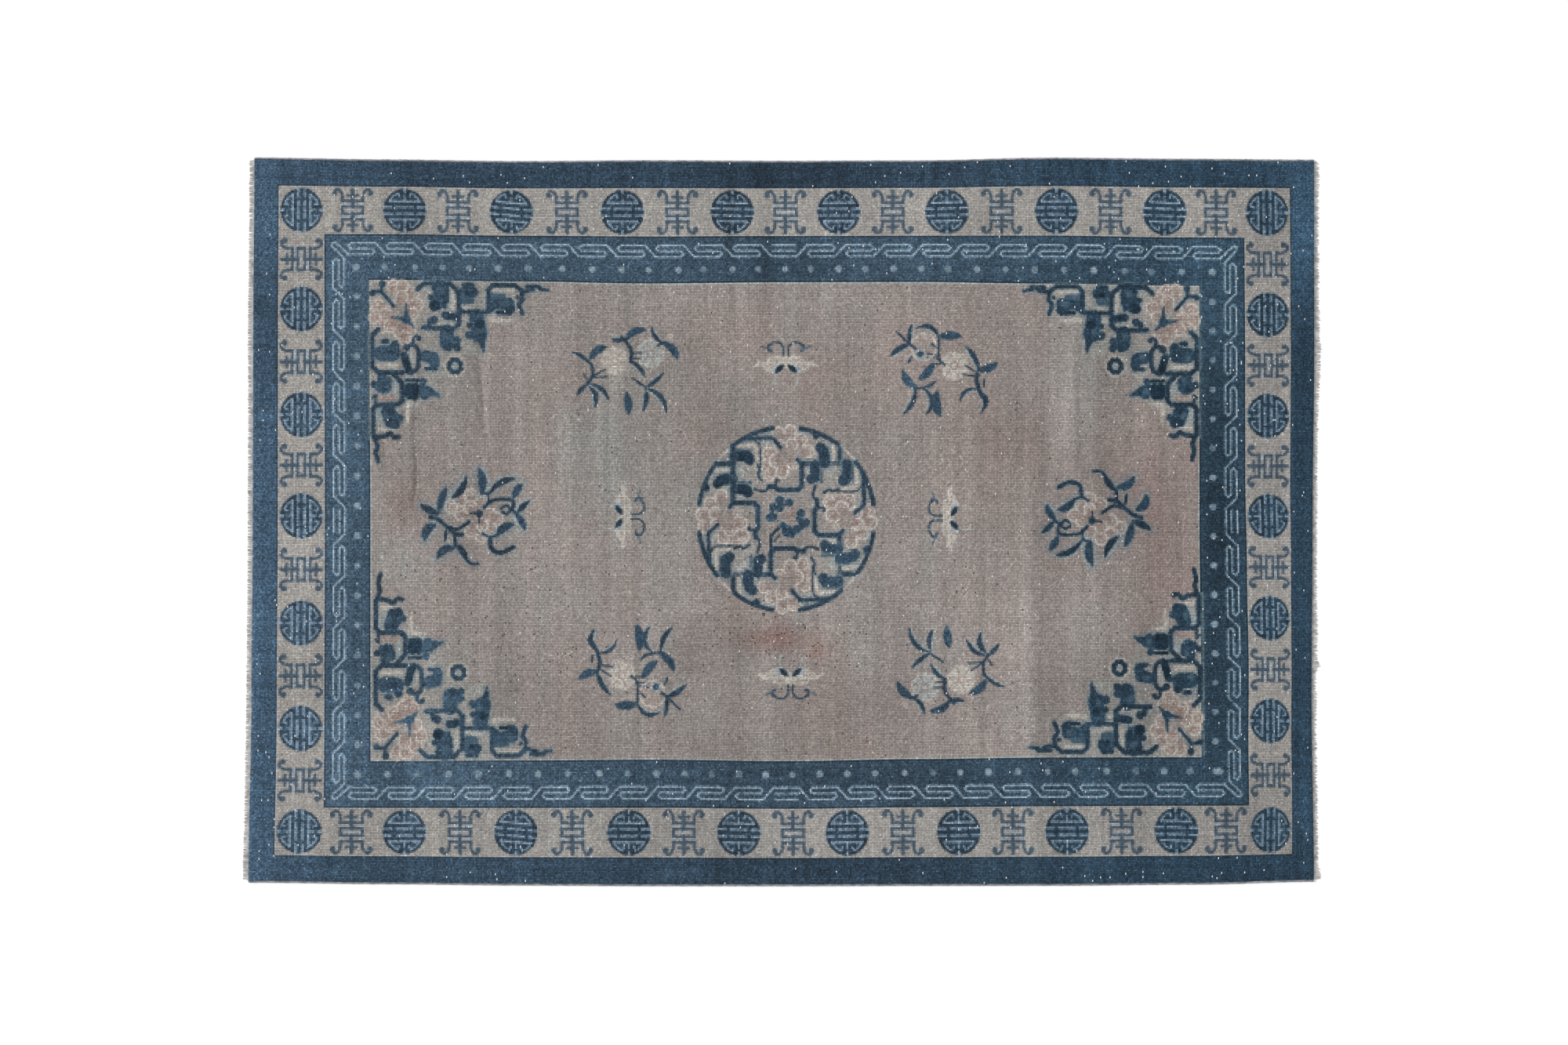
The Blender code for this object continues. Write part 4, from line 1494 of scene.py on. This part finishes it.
def selvage(name, edge):
    """The overcast cord along one long edge, every turn of its yarn raised."""
    v, outwards = SIDES[edge]
    stations = int(PILE_LENGTH / SELVAGE_TURN * SELVAGE_STEPS)
    shares = np.linspace(0, 1, stations)
    xs, ys = plan(shares, np.full(stations, v))
    wobble = 0.00025 * np.sin(shares * 410) + 0.0002 * np.sin(shares * 1130 + 1)
    swell = 1 - SELVAGE_SWELL + SELVAGE_SWELL * np.cos(np.arange(stations) * 2 * math.pi / SELVAGE_STEPS)
    across = Vector((SELVAGE_LEAN, outwards, 0)).normalized()
    bm = bmesh.new()
    bmesh.ops.create_grid(bm, x_segments=stations - 1, y_segments=SELVAGE_SIDES, size=0.5)
    for vert in bm.verts:
        i = round((vert.co.x + 0.5) * (stations - 1))
        angle = 2 * math.pi * (vert.co.y + 0.5)
        aside = (SELVAGE_WIDTH / 2 + wobble[i]) * swell[i] * math.cos(angle)
        y = ys[i] + outwards * (GAP + SELVAGE_WIDTH / 2) + aside * across.y
        z = SELVAGE_THICKNESS / 2 * (1 + swell[i] * math.sin(angle))
        vert.co = (xs[i] + aside * across.x, y, max(z, GROUND_GAP))
    bmesh.ops.remove_doubles(bm, verts=bm.verts, dist=0.000001)
    bmesh.ops.holes_fill(bm, edges=open_edges(bm), sides=0)
    bmesh.ops.recalc_face_normals(bm, faces=bm.faces)
    for face in bm.faces:
        face.smooth = True
    return link_mesh(name, mesh_of(name, bm), selvage_yarn)


# The cut ends: length and unevenness in mm, then radius, height, sway and bend in metres
END_LENGTH = {"left": 9.9, "right": 7.6}
END_UNEVEN = {"left": 1.3, "right": 2.4}
END_SHORTEST = 2.5
END_RADIUS = (0.00065, 0.0010)
END_HEIGHT = 0.0012
END_SWAY = 0.0011
END_BEND = 0.0006

# Longer tufts of an end, in mm: place, extra length and half-width
TUFTS = {
    "left": ((-880, 1.6, 60), (-560, 1.4, 90), (500, 0.8, 120)),
    "right": (
        (-925, 7.0, 22), (-480, 2.0, 26), (-372, 9.0, 14),
        (-300, 3.0, 60), (430, 5.5, 90), (900, 2.0, 30),
    ),
}
WEB_STEPS = 3
WEB_TOP = 0.0021
WEB_RIDGE = 0.00025


def end_length(end, y, unevenness):
    length = END_LENGTH[end] + END_UNEVEN[end] * unevenness
    for middle, extra, half_width in TUFTS[end]:
        length += extra * math.exp(-((((y - SHIFT_Y) / MM - middle) / half_width) ** 2))
    return max(length, END_SHORTEST) * MM


def plan_point(u, v):
    x, y = plan(u, v)
    return float(x), float(y)


def warp_ends(name, end):
    """The cut cotton ends past the last knots, joined by the few wefts that hold them."""
    u, outwards = SIDES[end]
    bm = bmesh.new()
    for index in range(ROWS):
        x, y = plan_point(u, (index + 0.5) / ROWS)
        length = WEB_WIDTH + end_length(end, y, random.normal(0, 0.5))
        sway = random.normal(0, END_SWAY)
        radius = random.uniform(*END_RADIUS)
        cone = {"segments": 4, "radius1": radius, "radius2": radius * 0.8, "depth": 1.0}
        made = bmesh.ops.create_cone(bm, cap_ends=True, **cone)["verts"]
        bend = random.normal(0, END_BEND)
        for vert in made:
            t = vert.co.z + 0.5
            aside = vert.co.x * (2.7 - 0.6 * t) + sway * t * t
            z = max(END_HEIGHT + vert.co.y + bend * t, GROUND_GAP)
            vert.co = (x + outwards * (GAP + length * t), y + aside, z)
    bmesh.ops.recalc_face_normals(bm, faces=bm.faces)
    return link_mesh(name, mesh_of(name, bm), cotton)


def web(name, end):
    """The narrow woven web that the cut ends come out of."""
    u, outwards = SIDES[end]
    bm = bmesh.new()
    bmesh.ops.create_grid(bm, x_segments=WEB_STEPS, y_segments=ROWS, size=0.5)
    for vert in bm.verts:
        t = vert.co.x + 0.5
        v = vert.co.y + 0.5
        x, y = plan_point(u, v)
        ridge = WEB_RIDGE * ((round(v * ROWS) + round(t * WEB_STEPS)) % 2)
        vert.co = (x + outwards * (GAP + WEB_WIDTH * t), y, WEB_TOP + ridge)
    close_side(bm, GROUND_GAP)
    return link_mesh(name, mesh_of(name, bm), cotton)


def dress_rug():
    panels = pile_panels()
    back = foundation()
    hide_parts("rug_body")
    selvages = [selvage("overcast_near", "near"), selvage("overcast_far", "far")]
    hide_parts("selvage_near")
    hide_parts("selvage_far")
    ends = []
    for end in ("left", "right"):
        strip = web(f"end_web_{end}", end)
        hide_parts(f"warp_ends_{end}")
        ends += [strip, warp_ends(f"cut_ends_{end}", end)]


dress_rug()


# Floor, light and camera

FLOOR_SIDE = 60.0
CAMERA_LENS = 85.0
CAMERA_SENSOR = 36.0
PHOTO_WIDTH = 2000
PHOTO_SCALE = 0.00204
CAMERA_ASIDE = (0.003, -0.001)


def floor():
    bm = bmesh.new()
    bmesh.ops.create_grid(bm, x_segments=1, y_segments=1, size=FLOOR_SIDE / 2)
    mesh = mesh_of("floor", bm)
    material, _, _ = node_material(
        "floor", Base_Color=(0.95, 0.95, 0.95, 1.0), Roughness=0.9, Specular_IOR_Level=0.1
    )
    mesh.materials.append(material)
    thing = link("floor", mesh)


def lamp(name, place, energy, angle):
    """A soft sun that shines from here to the rug's middle."""
    data = bpy.data.lights.new(name, "SUN")
    data.energy = energy
    data.angle = math.radians(angle)
    thing = link(name, data)
    thing.location = place
    thing.rotation_euler = (-Vector(place)).to_track_quat("-Z", "Y").to_euler()


def studio():
    world = bpy.data.worlds.new("studio")
    world.use_nodes = True
    background = {"Color": (1.0, 1.0, 1.0, 1.0), "Strength": 0.62}
    feed(world.node_tree, world.node_tree.nodes["Background"].inputs, background)
    bpy.context.scene.world = world
    lamp("key", (-3.2, 1.2, 2.0), 2.35, 16)
    lamp("fill", (2.0, -2.4, 5.0), 0.45, 40)


def camera():
    data = bpy.data.cameras.new("camera")
    data.lens = CAMERA_LENS
    data.sensor_width = CAMERA_SENSOR
    data.clip_end = 100.0
    thing = link("camera", data)
    height = PILE_THICKNESS + PHOTO_WIDTH * PHOTO_SCALE * CAMERA_LENS / CAMERA_SENSOR
    thing.location = (SHIFT_X + CAMERA_ASIDE[0], SHIFT_Y + CAMERA_ASIDE[1], height)
    bpy.context.scene.camera = thing


floor()
studio()
camera()
bpy.context.scene.view_settings.view_transform = "Standard"
